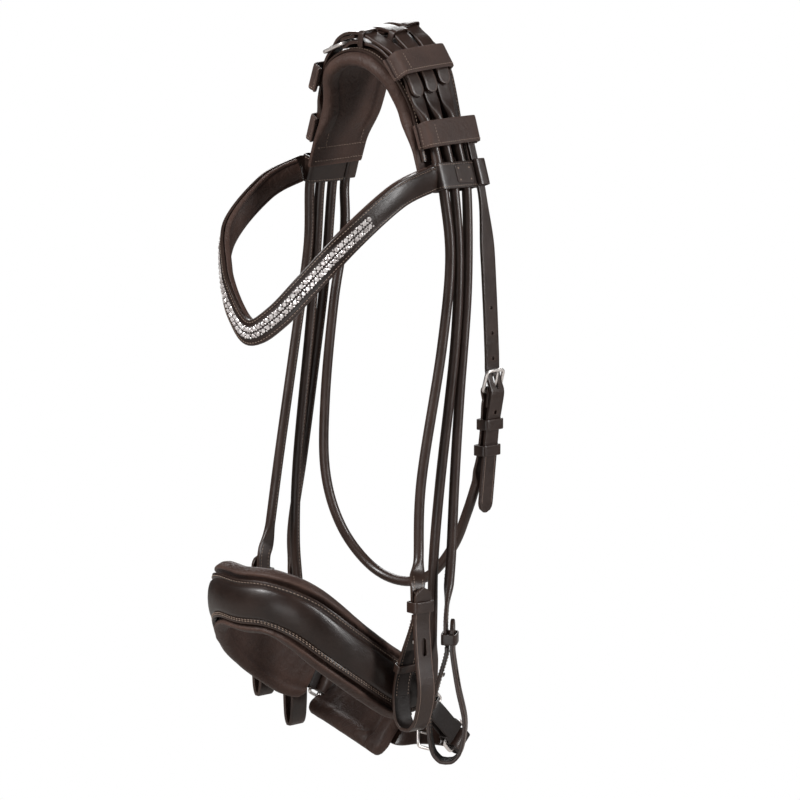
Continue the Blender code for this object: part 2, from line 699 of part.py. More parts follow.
def build_chin(leather, padding, steel):
    """The padded chin piece, the strap under it and the link that tightens it at the near side."""
    path = spline(CHIN_LINE, 12.0)
    far_up, near_up = Vector((0, 0.84, 0.55)), Vector((0, 0.5, 0.87))

    def pad_up(t):
        return far_up.lerp(near_up, t)
    sweep("chin_pad", path, pad_up, CHIN_PAD_WIDTH, CHIN_PAD_THICK, 0.5, padding)
    under = []
    for i, point in enumerate(path):
        t = i / (len(path) - 1)
        below = Vector((1, 0, 0)).cross(pad_up(t)).normalized()
        if below.z > 0:
            below = -below
        under.append(point + below * (CHIN_PAD_THICK / 2 + 1.4 + 2.2))

    near_bar = ring_seat("near")[0] + NEAR_RING_BACK * 2 * RING_HALF[1]
    eye_bar = near_bar + NEAR_RING_BACK * CRANK_LINK
    ring = wire_frame("crank_ring", eye_bar + NEAR_RING_BACK * RING_HALF[1], NEAR_RING_UP,
                      NEAR_RING_BACK, *RING_HALF, steel)
    set_pivot(ring, eye_bar)
    link_back = (eye_bar - near_bar).normalized()
    ring_band("crank_link", (near_bar + eye_bar) / 2, link_back, link_back.cross(NEAR_RING_UP),
              CRANK_LINK / 2 + 3.6, 3.4, CHIN_STRAP_WIDTH - 3, 2.0, leather)

    heel = eye_bar + NEAR_RING_BACK * 2 * RING_HALF[1]
    face = CRANK_LEAVES.cross(NEAR_RING_UP).normalized()
    if face.x < 0:
        face = -face
    fold = bar_fold(heel, CRANK_LEAVES, face)[::-1]
    far_bar = ring_seat("far")[0] + MUZZLE_BACK * 2 * RING_HALF[1]
    far_fold = bar_fold(far_bar, MUZZLE_BACK, Vector((1, 0, 0)))
    route = spline([*far_fold, *FAR_TURN, *under[1:], *CRANK_RUN, *fold], 5.0)
    far_x, near_x = CHIN_LINE[0][0], CHIN_LINE[-1][0]

    def strap_up(t):
        x = route[round(t * (len(route) - 1))].x
        share = min(1.0, max(0.0, (x - far_x) / (near_x - far_x)))
        up = MUZZLE_UP.lerp(pad_up(share), blend(x, far_x - 3, far_x + 6))
        return up.lerp(NEAR_RING_UP, blend(x, near_x, near_x + 16))
    strap = sweep("chin_strap", route, strap_up, CHIN_STRAP_WIDTH - 3, 2.6, 0.0, leather, sides=4)
    build_crank_buckle(strap, steel)


def build_crank_buckle(strap, steel):
    """The small buckle that the chin strap passes through, and its tongue."""
    start, end = Vector(CRANK_RUN[0]), Vector(CRANK_RUN[1])
    along = (end - start).normalized()
    up = (NEAR_RING_UP - along * NEAR_RING_UP.dot(along)).normalized()
    face = along.cross(up)
    if face.x < 0:
        face = -face
    middle = start.lerp(end, 0.45)
    heel = middle + along * 6.0 - face * 3.6
    toe = middle - along * 6.0 + face * 3.6
    v = (toe - heel).normalized()
    wire_frame("crank_buckle", middle, up, v, CHIN_STRAP_WIDTH / 2 + 1.6, (toe - heel).length / 2, steel)
    out = v.cross(up)
    if out.dot(face) < 0:
        out = -out
    tongue("crank_tongue", heel, toe + out * (WIRE / 2 + 1.2) - v * 0.5, steel, up)
    punch(strap, [(middle, face)], 2.3, along, 15.0)


def build_all():
    for obj in list(bpy.data.objects):
        bpy.data.objects.remove(obj, do_unlink=True)
    leather = make_material("leather", (0.036, 0.020, 0.016), 0.42)
    padding = make_material("soft_leather", (0.045, 0.024, 0.018), 0.68)
    lining = make_material("lining_leather", (0.022, 0.014, 0.013), 0.6)
    steel = make_material("steel", (0.72, 0.70, 0.68), 0.22, 1.0)
    crystal = make_material("crystal", (0.85, 0.83, 0.82), 0.08)

    build_poll_pad(padding)
    build_crown_strap(leather)
    build_bands(leather)
    runs = {"bradoon": BRADOON_RUN, "noseband": HANGER_RUN, "curb": CURB_RUN}
    for side, sign in SIDES.items():
        for line, run in runs.items():
            build_cheek(line, side, sign, run, leather)
    for line in LINE_Y:
        build_poll_buckle(line, steel)
        build_poll_keeper(line, leather)
    for name in BIT_LOOPS:
        build_bit_loop(name, leather)
        build_loop_fittings(name, leather, steel)
    build_browband(leather, lining, crystal)
    build_brow_loops(leather)
    build_throatlash(leather, steel)
    build_noseband(leather, padding, steel)
    build_chin(leather, padding, steel)


build_all()
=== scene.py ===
"""The looks of a rolled leather double bridle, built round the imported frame.

Metres, +Z up, nose towards -Y, near side +X. Route tables are in millimetres.
"""

import math
import random

import bmesh
import bpy
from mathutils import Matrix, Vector, noise


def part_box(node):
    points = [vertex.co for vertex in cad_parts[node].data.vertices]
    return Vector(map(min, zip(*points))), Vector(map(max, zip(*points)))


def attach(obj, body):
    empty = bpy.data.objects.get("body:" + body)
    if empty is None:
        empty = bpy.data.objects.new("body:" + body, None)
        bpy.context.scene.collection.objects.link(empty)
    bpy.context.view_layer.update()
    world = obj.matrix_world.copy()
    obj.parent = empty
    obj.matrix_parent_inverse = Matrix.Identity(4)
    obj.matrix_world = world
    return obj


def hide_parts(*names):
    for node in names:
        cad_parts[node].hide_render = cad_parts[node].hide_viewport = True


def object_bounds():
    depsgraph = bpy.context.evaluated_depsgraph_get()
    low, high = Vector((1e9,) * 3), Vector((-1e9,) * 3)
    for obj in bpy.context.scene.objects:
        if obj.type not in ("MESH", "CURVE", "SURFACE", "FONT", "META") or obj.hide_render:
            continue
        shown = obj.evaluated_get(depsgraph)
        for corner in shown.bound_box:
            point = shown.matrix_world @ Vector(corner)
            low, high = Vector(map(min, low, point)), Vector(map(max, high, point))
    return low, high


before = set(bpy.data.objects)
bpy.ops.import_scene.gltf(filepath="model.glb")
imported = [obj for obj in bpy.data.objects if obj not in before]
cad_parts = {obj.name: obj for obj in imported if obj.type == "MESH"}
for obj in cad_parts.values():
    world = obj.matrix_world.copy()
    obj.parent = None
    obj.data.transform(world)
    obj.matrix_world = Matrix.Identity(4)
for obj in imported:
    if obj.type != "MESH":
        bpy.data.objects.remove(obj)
cad_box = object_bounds()

MM = 0.001
ROOT = "bridle"
SIDES = {"near": 1, "far": -1}
DICE = random.Random(7)
NOSE_TO_POLL = Vector((0, 1, 0))
CROWN_STEP, FREE_STEP = 1.4, 3.0
PAD_GROOVE = 12.5
PAD_UNDER_POINTS = 46

# ---------------------------------------------------------------- the CAD's own dimensions
GAP = 0.4
ARCH_RADIUS = 34.0
ARCH_TURN = math.radians(72)
ARCH_RISE = 0.15
PAD_TOP = 7.5
CROWN_THICK = 2.0
CROWN_MID = PAD_TOP + 0.55 + CROWN_THICK / 2
UNDER_STRAP = 13.2
OVER_STRAP = 16.8
ROLL_LAYER = 14.6
BAND_TOP = 20.4
UPPER_BAND_TOP = 21.4
PAD_END = 110.0
CROWN_END = 101.0
ROLL = 7.6
FLAT_WIDTH = 12.4
FLAT_THICK = 2.6
LOOP_WIDTH = 15.5
LOOP_THICK = 2.8
LINE_Y = {"bradoon": (-29.0, -15.5), "noseband": (-10.0, -3.4), "curb": (9.0, 8.8)}
LINE_RUN = 90.0
ROLLS_BEFORE_END = (52, 36)
FLATTENS_BEFORE_FOOT = (46, 28)
TIP_LENGTH = 7.0
TIP_CREASE_LENGTH = 34
THROAT_Y = 23.2
THROAT_WIDTH = 14.0
THROAT_STATIONS = (92, 104, 116)
WIRE = 2.4
FOLD = WIRE / 2 + GAP + 0.35 + FLAT_THICK / 2
BUCKLE_S = {"bradoon": -17.0, "noseband": -9.0, "curb": -13.0}
BUCKLE_HALF = 7.5
HEEL_HEIGHT = 15.0
TOE_HEIGHT = 17.8
TIP_S = {"bradoon": 54.0, "noseband": 52.0, "curb": 47.0}
POLL_KEEPER_AT = 13.0
POLL_KEEPER_HEIGHTS = (10.9, 22.9)
BILLET_CLIMB = [(36, OVER_STRAP), (26, 16.8), (19, 17.8), (14, 19.8), (9, 21.0), (2, 21.4), (-4, 19.6)]
BILLET_CLIMB += [(-9, 15.8), (-16, UNDER_STRAP)]
BAND_WIDTH = 20.0
UPPER_BAND_S = {"near": 32.0, "far": 42.0}
LOWER_BAND_S = 83.0
BROW_LOOP_S = 116.0
BROW_LOOP_HALF = 5.9
PATCH_WIDTH, PATCH_HEIGHT = 17.0, 14.0
PIN_Y, PIN_X = 5.6, 4.4
BRADOON_RUN = [(72, -15, -103), (76, -13, -150), (78, -24, -216), (77, -44, -311), (81, -51, -369)]
HANGER_RUN = [(72, -4, -103), (76, -4, -150), (78, -10, -216), (77, -24, -313), (75, -29, -372)]
HANGER_RUN += [(73, -28, -410), (71.2, -27, -445), (69.6, -26, -468), (69.2, -25.5, -480)]
CURB_RUN = [(72, 8.8, -103), (76, 5, -173), (79, -6, -254), (82, -14, -313), (86, -22, -373)]
LOOP_HIGH = 108.0
BIT_LOOPS = {
    "near_bradoon": (1, (85.5, -63), -495.0, -4.0, 14.0, 9.0),
    "far_bradoon": (-1, (80, -58), -495.0, 0.0, 4.6, 0.0),
    "near_curb": (1, (91, -31), -524.0, 38.0, 13.5, 0.0),
    "far_curb": (-1, (81, -24), -524.0, 0.0, 4.6, 0.0),
}
LOOP_INNER_END = 0.81
LOOP_STEP = 2.0
SEAT_SHARE = 0.22
STUD_SHARE = 0.63
BROW_FAR = [(-71.5, -29.5, -90), (-77, -60, -103), (-69, -104, -133), (-46, -128, -163), (-23, -139, -187)]
BROW_NEAR = [(0, -144, -199), (22, -138, -186), (43, -126, -161), (62, -105, -131), (72.5, -64, -100)]
BROW_NEAR += [(71.5, -26.2, -89)]
BROW_WIDTH = 19.0
CRYSTAL_SHARE = 0.66
NOSE_HALF = [(0, -155, -396), (26, -150, -396), (46, -135, -406), (59, -106, -431), (62, -64, -460)]
NOSE_HALF += [(60.5, -26, -482), (60.2, -19, -486)]
NOSE_WIDTH = 33.0
NOSE_PAD_WIDTH = 49.0
MUZZLE_UP = Vector((0, 0.5, 0.866))
MUZZLE_BACK = Vector((0, 0.866, -0.5))
RING_HALF = (11.5, 5.5)
THROAT_BILLET = [(73, 24, -103), (75, 27, -137), (77.5, 28, -182), (78.8, 29, -222), (79.2, 29, -235)]
THROAT_BILLET += [(81.4, 29, -243.5), (84.4, 28.9, -251), (83.2, 28.2, -262), (81.6, 27, -275)]
THROAT_BILLET += [(80.9, 25.4, -292), (80.9, 22.6, -316), (80.9, 19.5, -342)]
THROAT_HEEL = (78.0, 29.0, -251.0)
THROAT_TOE = (82.8, 29.0, -235.0)
THROAT_ROLL = [(-72.8, 22.8, -105), (-68, 18, -140), (-66, 4.5, -193), (-66, -5, -267), (-65, -6, -324)]
THROAT_ROLL += [(-54, 0, -366), (-30, 8, -395), (0, 12, -404), (28, 15, -396), (50, 18, -371)]
THROAT_ROLL += [(64, 18, -344), (71, 20.5, -322)]
THROAT_FLAT = [(75.8, 23.6, -300), (77.0, 26.2, -278), (76.4, 28, -262)]
THROAT_HOLES = (-188.0, -207.0, -226.0, -266.5)
CHIN_LINE = [(-56, -13, -496), (-32, -17, -500), (-4, -22, -505), (31, -28, -511)]
CHIN_PAD_WIDTH = 44.0
CHIN_PAD_THICK = 9.0
CHIN_STRAP_WIDTH = 18.0
NEAR_RING_UP = Vector((0, 0.71, 0.704))
NEAR_RING_BACK = Vector((0, 0.704, -0.71))
CRANK_LINK = 27.0
FAR_TURN = [(-60.5, -5.0, -501.0), (-54, -7.0, -505.5)]
CRANK_RUN = [(40, -12, -514), (50, 0, -515)]
CRANK_LEAVES = Vector((-0.94, -0.24, 0.24))


# ---------------------------------------------------------------- camera, light and floor
def place_looking(data, place, target):
    """Adds a camera or a light that looks at a point."""
    obj = bpy.data.objects.new(data.name, data)
    obj.location = place
    obj.rotation_euler = (Vector(target) - Vector(place)).to_track_quat("-Z", "Y").to_euler()
    bpy.context.scene.collection.objects.link(obj)
    return obj


def make_camera():
    data = bpy.data.cameras.new("Camera")
    data.lens = 168.0
    data.sensor_width = 36.0
    data.clip_start = 0.05
    data.clip_end = 200.0
    bpy.context.scene.camera = place_looking(data, (1.9915, -1.9809, 0.1320), (0.0309, -0.0203, -0.2577))


def area_light(name, place, size, power, target=(0, 0, -0.25)):
    data = bpy.data.lights.new(name, "AREA")
    data.shape = "RECTANGLE"
    data.size, data.size_y = size
    data.energy = power
    place_looking(data, place, target)


def show_to_camera(tree, lit, seen, output):
    """Lets one shader light the scene while camera rays see the other."""
    ray = tree.nodes.new("ShaderNodeLightPath").outputs["Is Camera Ray"]
    mix = tree.nodes.new("ShaderNodeMixShader")
    for source, socket in zip((ray, lit.outputs[0], seen.outputs[0]), mix.inputs):
        tree.links.new(source, socket)
    tree.links.new(mix.outputs[0], tree.nodes[output].inputs["Surface"])


def make_studio():
    """Soft lights, and a world and floor that look white but light the leather dimly."""
    scene = bpy.context.scene
    scene.view_settings.view_transform = "Standard"
    world = bpy.data.worlds.new("Studio")
    scene.world = world
    world.use_nodes = True
    dim = world.node_tree.nodes["Background"]
    set_inputs(dim, {"Color": (1.0, 0.98, 0.96, 1), "Strength": 0.10})
    white = node_of(world.node_tree, "ShaderNodeBackground", {"Color": (1, 1, 1, 1), "Strength": 1.0})
    show_to_camera(world.node_tree, dim, white, "World Output")
    area_light("Key", (-0.4, -2.1, 1.3), (0.5, 1.1), 76)
    area_light("Side", (2.2, 0.9, 0.6), (0.35, 1.6), 50)
    area_light("Back", (-1.6, 1.6, 1.0), (1.2, 1.0), 24)
    area_light("Low", (0.9, -1.7, -0.6), (1.2, 0.4), 5, (0, 0, -0.45))

    bm = bmesh.new()
    bmesh.ops.create_circle(bm, cap_ends=True, segments=96, radius=40)
    mesh = bpy.data.meshes.new("floor")
    bm.to_mesh(mesh)
    bm.free()
    floor = bpy.data.objects.new("floor", mesh)
    floor.location.z = cad_box[0].z - 0.35
    scene.collection.objects.link(floor)
    material = bpy.data.materials.new("floor")
    material.use_nodes = True
    tree = material.node_tree
    shader = tree.nodes["Principled BSDF"]
    set_inputs(shader, {"Base Color": (0.42, 0.40, 0.38, 1), "Roughness": 0.9, "Specular IOR Level": 0.0})
    show_to_camera(tree, shader, tree.nodes.new("ShaderNodeEmission"), "Material Output")
    mesh.materials.append(material)


# ---------------------------------------------------------------- materials
def set_inputs(node, values):
    for name, value in values.items():
        node.inputs[name].default_value = value


def node_of(tree, kind, values, **settings):
    node = tree.nodes.new(kind)
    set_inputs(node, values)
    for name, value in settings.items():
        setattr(node, name, value)
    return node


def ramp(tree, source, stops):
    """The colour output of a ramp of (position, colour) stops, fed by source."""
    node = tree.nodes.new("ShaderNodeValToRGB")
    elements = node.color_ramp.elements
    elements[0].position, elements[0].color = stops[0][0], (*stops[0][1], 1)
    elements[1].position, elements[1].color = stops[-1][0], (*stops[-1][1], 1)
    for position, colour in stops[1:-1]:
        elements.new(position).color = (*colour, 1)
    tree.links.new(source, node.inputs["Fac"])
    return node.outputs["Color"]


def uneven(tree, source, values, target):
    """Feeds source, mapped to the range in values, to target."""
    node = node_of(tree, "ShaderNodeMapRange", values)
    tree.links.new(source, node.inputs["Value"])
    tree.links.new(node.outputs["Result"], target)


def bump(tree, source, strength, distance, target):
    """Raises target's normal by source and returns the bump node."""
    node = node_of(tree, "ShaderNodeBump", {"Strength": strength, "Distance": distance})
    tree.links.new(source, node.inputs["Height"])
    tree.links.new(node.outputs["Normal"], target.inputs["Normal"])
    return node


def new_material(name, textures, values):
    """A material, its tree, its shader, and textures that sit on the piece's own coordinates."""
    material = bpy.data.materials.new(name)
    material.use_nodes = True
    tree = material.node_tree
    place = tree.nodes.new("ShaderNodeTexCoord").outputs["Object"]
    made = [node_of(tree, f"ShaderNodeTex{kind}", inputs) for kind, inputs in textures]
    for texture in made:
        tree.links.new(place, texture.inputs["Vector"])
    shader = tree.nodes["Principled BSDF"]
    set_inputs(shader, values)
    return material, tree, shader, made


def leather(name, dark, light, rough, grain, depth, wrinkle=0.0, coat=0.0, sheen=0.0):
    """Grained leather: cell grain, pores, mottled colour, worn edges and uneven gloss."""
    textures = [("Noise", {"Scale": 38.0, "Detail": 6.0, "Roughness": 0.62}),
                ("Voronoi", {"Scale": grain}),
                ("Noise", {"Scale": grain * 2.1, "Detail": 3.0}),
                ("Noise", {"Scale": 110.0, "Detail": 4.0, "Roughness": 0.55, "Distortion": 1.2})]
    material, tree, shader, (mottle, cells, pores, folds) = new_material(
        name, textures, {"Specular IOR Level": 0.36, "Coat Weight": coat, "Coat Roughness": 0.25,
                         "Sheen Weight": sheen, "Sheen Roughness": 0.5})
    link = tree.links.new
    mixed = node_of(tree, "ShaderNodeMix", {}, data_type="RGBA")
    tones = [socket for socket in mixed.inputs if socket.type == "RGBA"]
    pale = [tone * 3.0 + more for tone, more in zip(light, (0.03, 0.024, 0.02))]
    tones[1].default_value = (*pale, 1)
    link(ramp(tree, mottle.outputs["Fac"], [(0.28, dark), (0.72, light)]), tones[0])
    edges = tree.nodes.new("ShaderNodeNewGeometry").outputs["Pointiness"]
    link(ramp(tree, edges, [(0.50, (0, 0, 0)), (0.62, (0.35, 0.35, 0.35))]), mixed.inputs["Factor"])
    link([out for out in mixed.outputs if out.type == "RGBA"][0], shader.inputs["Base Color"])
    uneven(tree, mottle.outputs["Fac"], {"From Min": 0.3, "From Max": 0.7, "To Min": rough - 0.06,
                                         "To Max": rough + 0.09}, shader.inputs["Roughness"])
    fine = node_of(tree, "ShaderNodeMath", {}, operation="MULTIPLY_ADD")
    fine.inputs[1].default_value = 0.6
    link(cells.outputs["Distance"], fine.inputs[0])
    link(pores.outputs["Fac"], fine.inputs[2])
    grained = bump(tree, fine.outputs["Value"], depth, 0.0004, shader)
    bump(tree, folds.outputs["Fac"], wrinkle, 0.002, grained)
    return material


def steel_material():
    """Brushed steel with fine marks."""
    material, tree, shader, (marks,) = new_material(
        "polished_steel", [("Noise", {"Scale": 700.0, "Detail": 5.0, "Roughness": 0.7})], {"Metallic": 0.85})
    tone = ramp(tree, marks.outputs["Fac"], [(0.3, (0.84, 0.78, 0.75)), (0.7, (0.96, 0.92, 0.90))])
    tree.links.new(tone, shader.inputs["Base Color"])
    uneven(tree, marks.outputs["Fac"], {"To Min": 0.24, "To Max": 0.44}, shader.inputs["Roughness"])
    bump(tree, marks.outputs["Fac"], 0.06, 0.0002, shader)
    return material


def stone_material():
    """Foil-backed clear stones whose reflections are painted: a bright, slightly rosy base colour, each cell
    with its own painted glint tone.
    """
    material, tree, shader, (painted_glints,) = new_material(
        "clear_stone", [("Voronoi", {"Scale": 380.0})],
        {"Metallic": 0.35, "Roughness": 0.10, "Coat Weight": 1.0, "Coat Roughness": 0.02})
    # Painted reflection: these tones, from dark to near white, stand in for the facets' glints.
    tone = ramp(tree, painted_glints.outputs["Color"],
                [(0.1, (0.42, 0.38, 0.37)), (0.5, (0.78, 0.72, 0.71)), (0.9, (0.98, 0.95, 0.94))])
    tree.links.new(tone, shader.inputs["Base Color"])
    return material


def thread_material():
    """Pale waxed thread, twisted finely."""
    material, tree, shader, (ply,) = new_material(
        "linen_thread", [("Noise", {"Scale": 2600.0, "Detail": 2.0})], {"Roughness": 0.7})
    tone = ramp(tree, ply.outputs["Fac"], [(0.3, (0.17, 0.115, 0.088)), (0.7, (0.38, 0.285, 0.225))])
    tree.links.new(tone, shader.inputs["Base Color"])
    bump(tree, ply.outputs["Fac"], 0.4, 0.0003, shader)
    return material


STRAP = leather("bridle_leather", (0.0150, 0.0072, 0.0050), (0.0330, 0.0172, 0.0124), 0.36, 1700, 0.22,
                wrinkle=0.12, coat=0.42)
GLOSS = leather("glazed_leather", (0.0100, 0.0048, 0.0034), (0.0220, 0.0114, 0.0082), 0.34, 1900, 0.16,
                wrinkle=0.10, coat=0.25)
SOFT = leather("padding_leather", (0.0250, 0.0112, 0.0076), (0.0500, 0.0235, 0.0160), 0.56, 1250, 0.50,
               wrinkle=0.60, coat=0.03, sheen=0.04)
NUBUCK = leather("band_leather", (0.0290, 0.0142, 0.0100), (0.0540, 0.0280, 0.0205), 0.60, 1400, 0.45,
                 wrinkle=0.5, sheen=0.08)
# Near-black leather, used for the stone bed and as painted shade on the bit loops' inner faces, the ring
# folds and the crank link.
DARK_AND_SHADE_LEATHER = leather("dark_leather_and_painted_shade", (0.0060, 0.0036, 0.0030), (0.0120, 0.0075, 0.0062), 0.50, 1500, 0.30,
               wrinkle=0.20)
WORN = leather("burnished_edge", (0.0800, 0.0520, 0.0400), (0.1500, 0.1050, 0.0850), 0.45, 1700, 0.15)
STEEL = steel_material()
STONE = stone_material()
THREAD = thread_material()


# ---------------------------------------------------------------- curves and sections
def spline(points, step):
    """Evenly spaced points, step millimetres apart, on a smooth curve through the given ones."""
    knots = [Vector(point) for point in points]
    knots = [2 * knots[0] - knots[1], *knots, 2 * knots[-1] - knots[-2]]
    fine = []
    for a, b, c, d in zip(knots, knots[1:], knots[2:], knots[3:]):
        for k in range(16):
            t = k / 16
            fine.append(0.5 * (2 * b + (c - a) * t + (2 * a - 5 * b + 4 * c - d) * t**2
                               + (3 * b - a - 3 * c + d) * t**3))
    fine.append(knots[-2])
    return resample(fine, step)


def distances(line):
    """How far along a line each of its points is."""
    lengths = [0.0]
    for a, b in zip(line, line[1:]):
        lengths.append(lengths[-1] + (b - a).length)
    return lengths


def walk(lengths, wants):
    """For each wanted distance, in order: the stretch of line it falls on and its share of that."""
    i = 0
    for want in wants:
        while i < len(lengths) - 2 and lengths[i + 1] < want:
            i += 1
        yield i, (want - lengths[i]) / max(1e-9, lengths[i + 1] - lengths[i])


def resample(fine, step):
    lengths = distances(fine)
    count = max(2, round(lengths[-1] / step))
    wants = [lengths[-1] * k / count for k in range(count + 1)]
    return [fine[i].lerp(fine[i + 1], min(1.0, share)) for i, share in walk(lengths, wants)]


def at(value, t):
    return value(t) if callable(value) else value


def blend(t, start, end):
    x = min(1.0, max(0.0, (t - start) / (end - start)))
    return x * x * (3 - 2 * x)


def easing(first, second, start, end):
    """A measure that eases from first to second between two shares of the way."""
    return lambda t: first + (second - first) * blend(t, start, end)


def bump_at(x, centre, half):
    """A smooth rise of width 2 x half round centre, 1 at its middle."""
    return math.exp(-((x - centre) / half) ** 2)


def toward(vector, way):
    """The vector, or its opposite where that leans to way."""
    return vector if vector.dot(way) > 0 else -vector


def turns(count, start=0.0):
    """The cosine and sine of evenly spaced angles round a circle, start being a share of one step."""
    angles = [math.tau * (k + start) / count for k in range(count)]
    return [(math.cos(a), math.sin(a)) for a in angles]


def outline(width, thick, square, count, square_thick=None):
    """A section between an ellipse (square 1) and a rectangle (square 0)."""
    squares = (square, square if square_thick is None else square_thick)
    return [tuple(size / 2 * math.copysign(abs(x) ** power, x)
                  for size, power, x in zip((width, thick), squares, turn))
            for turn in turns(count, 0.5)]


def oval(centre, u, v, half_u, half_v, square, count):
    points = outline(2 * half_u, 2 * half_v, square, count)
    return [Vector(centre) + u * a + v * b for a, b in points]


def frames_along(path, across, closed=False, normals=None):
    """For each point: the point, its tangent, its width direction and its thickness direction.

    The thickness direction is turned to the side of the point's normal, where normals are given.
    """
    rows = []
    last = len(path) - 1
    for i, point in enumerate(path):
        if closed:
            tangent = path[(i + 1) % len(path)] - path[i - 1]
        else:
            tangent = path[min(i + 1, last)] - path[max(i - 1, 0)]
        tangent.normalize()
        wide = Vector(at(across, i / last))
        wide = (wide - tangent * wide.dot(tangent)).normalized()
        tall = tangent.cross(wide)
        rows.append((point, tangent, wide, toward(tall, normals[i]) if normals else tall))
    return rows


def strap_rings(path, across, width, thick, square, closed, sides):
    """Rings of a strap whose ends are eased, so that they look cut and burnished."""
    rows = frames_along(path, across, closed)
    last = len(rows) - 1

    def ring(row, t, ease=0.0):
        point, _, wide, tall = row
        section = outline(at(width, t) - 2 * ease, at(thick, t) - 2 * ease, at(square, t), sides)
        return [point + wide * u + tall * v for u, v in section]
    rings = [ring(row, i / last) for i, row in enumerate(rows)]
    if not closed:
        for t, sense in ((0, -1), (1, 1)):
            ease = min(0.5, at(thick, t) * 0.2)
            back = rows[-t][1] * sense * ease
            rings[-t] = [point - back for point in rings[-t]]
            rings.insert(t * len(rings), ring(rows[-t], t, ease))
    return rings


# ---------------------------------------------------------------- pieces
def finish_mesh(name, bm, material, stands_for=(), body=ROOT, angle=40):
    """Makes the piece, shades it, seats it on its body and hides the CAD parts it stands for."""
    bmesh.ops.recalc_face_normals(bm, faces=bm.faces)
    mesh = bpy.data.meshes.new(name)
    bm.to_mesh(mesh)
    bm.free()
    mesh.materials.append(material)
    mesh.shade_smooth()
    mesh.set_sharp_from_angle(angle=math.radians(angle))
    obj = bpy.data.objects.new(name, mesh)
    bpy.context.scene.collection.objects.link(obj)
    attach(obj, body)
    if stands_for:
        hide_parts(*stands_for)
    return obj


def loft(bm, rings, closed=False, foot=True):
    """Skins a list of rings of points, in millimetres."""
    made = [[bm.verts.new(point * MM) for point in ring] for ring in rings]
    count = len(made[0])
    for a, b in zip(made, made[1:] + made[:1] if closed else made[1:]):
        for k in range(count):
            bm.faces.new((a[k], a[(k + 1) % count], b[(k + 1) % count], b[k]))
    if not closed:
        if foot:
            bm.faces.new(made[0][::-1])
        bm.faces.new(made[-1])


def skin(name, rings, material, stands_for=(), body=ROOT, angle=40, closed=False):
    bm = bmesh.new()
    loft(bm, rings, closed)
    return finish_mesh(name, bm, material, stands_for, body, angle)


def strap(name, path, across, width, thick, square, material, stands_for=(), body=ROOT, closed=False,
          sides=28):
    rings = strap_rings(path, across, width, thick, square, closed, sides)
    return skin(name, rings, material, stands_for, body, closed=closed)


def wire_frame(name, node, centre, u, v, half_u, half_v, radius, body=ROOT):
    """A closed frame of round wire with rounded corners."""
    path = oval(centre, u, v, half_u, half_v, 0.32, 64)
    rings = strap_rings(path, u.cross(v), 2 * radius, 2 * radius, 0.85, True, 16)
    skin(name, rings, STEEL, [node], body, 60, closed=True)


def keeper(node, centre, u, v, half_u, half_v, width, thick, body=ROOT, material=STRAP, square=0.30):
    """A leather keeper: a closed band with eased edges."""
    path = oval(centre, u, v, half_u, half_v, square, 72)
    strap(f"{node}_band", path, u.cross(v), width, thick, 0.25, material, [node], body, True, 20)


def stitch(bm, centre, along, up, length, radius):
    """One stitch: a short thread that rises out of the leather and dips back into it."""
    side = along.cross(up).normalized()
    rings = []
    for share, lift, scale in ((-0.5, -0.75, 0.55), (-0.3, 0.0, 1.0), (0.0, 0.3, 1.1), (0.3, 0.0, 1.0),
                               (0.5, -0.75, 0.55)):
        middle = centre + along * length * share + up * radius * lift
        rings.append([middle + (side * c + up * s) * radius * scale for c, s in turns(6)])
    loft(bm, rings)


def sewing(name, lines, pitch=2.7, radius=0.24):
    """All the rows of stitches of one piece, each row a line and the leather's outward directions."""
    bm = bmesh.new()
    for line, ups in lines:
        lengths = distances(line)
        count = int(lengths[-1] / pitch)
        wants = [(k + 0.5) * lengths[-1] / count for k in range(count)]
        for i, share in walk(lengths, wants):
            along = (line[i + 1] - line[i]).normalized()
            up = ups[i].lerp(ups[i + 1], share)
            up = (up - along * up.dot(along)).normalized()
            lean = (along + along.cross(up) * 0.10).normalized()
            stitch(bm, line[i].lerp(line[i + 1], share), lean, up, pitch * 0.66, radius)
    finish_mesh(name, bm, THREAD, angle=80)


def creases(name, lines, radius=0.2):
    """Thin pressed lines along a strap's edges, where the burnished leather shows paler."""
    bm = bmesh.new()
    for line, ups in lines:
        rings = []
        for i, (point, up) in enumerate(zip(line, ups)):
            along = line[min(i + 1, len(line) - 1)] - line[max(i - 1, 0)]
            side = along.cross(up).normalized()
            rings.append([point + side * radius, point + up * radius * 0.6, point - side * radius,
                          point - up * radius])
        loft(bm, rings)
    finish_mesh(name, bm, WORN, angle=80)


def seam(rows, offset, lift):
    """A line along a strap, offset across its width and lifted off its middle, and its face's way."""
    last = len(rows) - 1
    line = [point + wide * at(offset, i / last) + tall * lift
            for i, (point, _, wide, tall) in enumerate(rows)]
    return line, [tall * (-1 if lift < 0 else 1) for _, _, _, tall in rows]


def draw_in(rings, scales):
    """Rounds a pad's two ends: the outermost rings shrink by these scales."""
    for places in (range(len(scales)), range(-1, -1 - len(scales), -1)):
        for k, scale in zip(places, scales):
            middle = sum(rings[k], Vector()) / len(rings[k])
            rings[k] = [middle + (point - middle) * scale for point in rings[k]]


# ---------------------------------------------------------------- the poll arch
def arch(s, y, height):
    """The point s along the poll's arch from its top, y across it and height above it."""
    turn = min(abs(s) / ARCH_RADIUS, ARCH_TURN)
    run = abs(s) - turn * ARCH_RADIUS
    x = (ARCH_RADIUS + height) * math.sin(turn) + run * math.cos(turn)
    z = (ARCH_RADIUS + height) * math.cos(turn) - ARCH_RADIUS - run * math.sin(turn)
    return Vector((math.copysign(x, s), y, z + ARCH_RISE * y * math.cos(turn)))


def arch_along(s):
    return (arch(s + 1, 0, 0) - arch(s - 1, 0, 0)).normalized()


def arch_out(s):
    return (arch(s, 0, 1) - arch(s, 0, 0)).normalized()


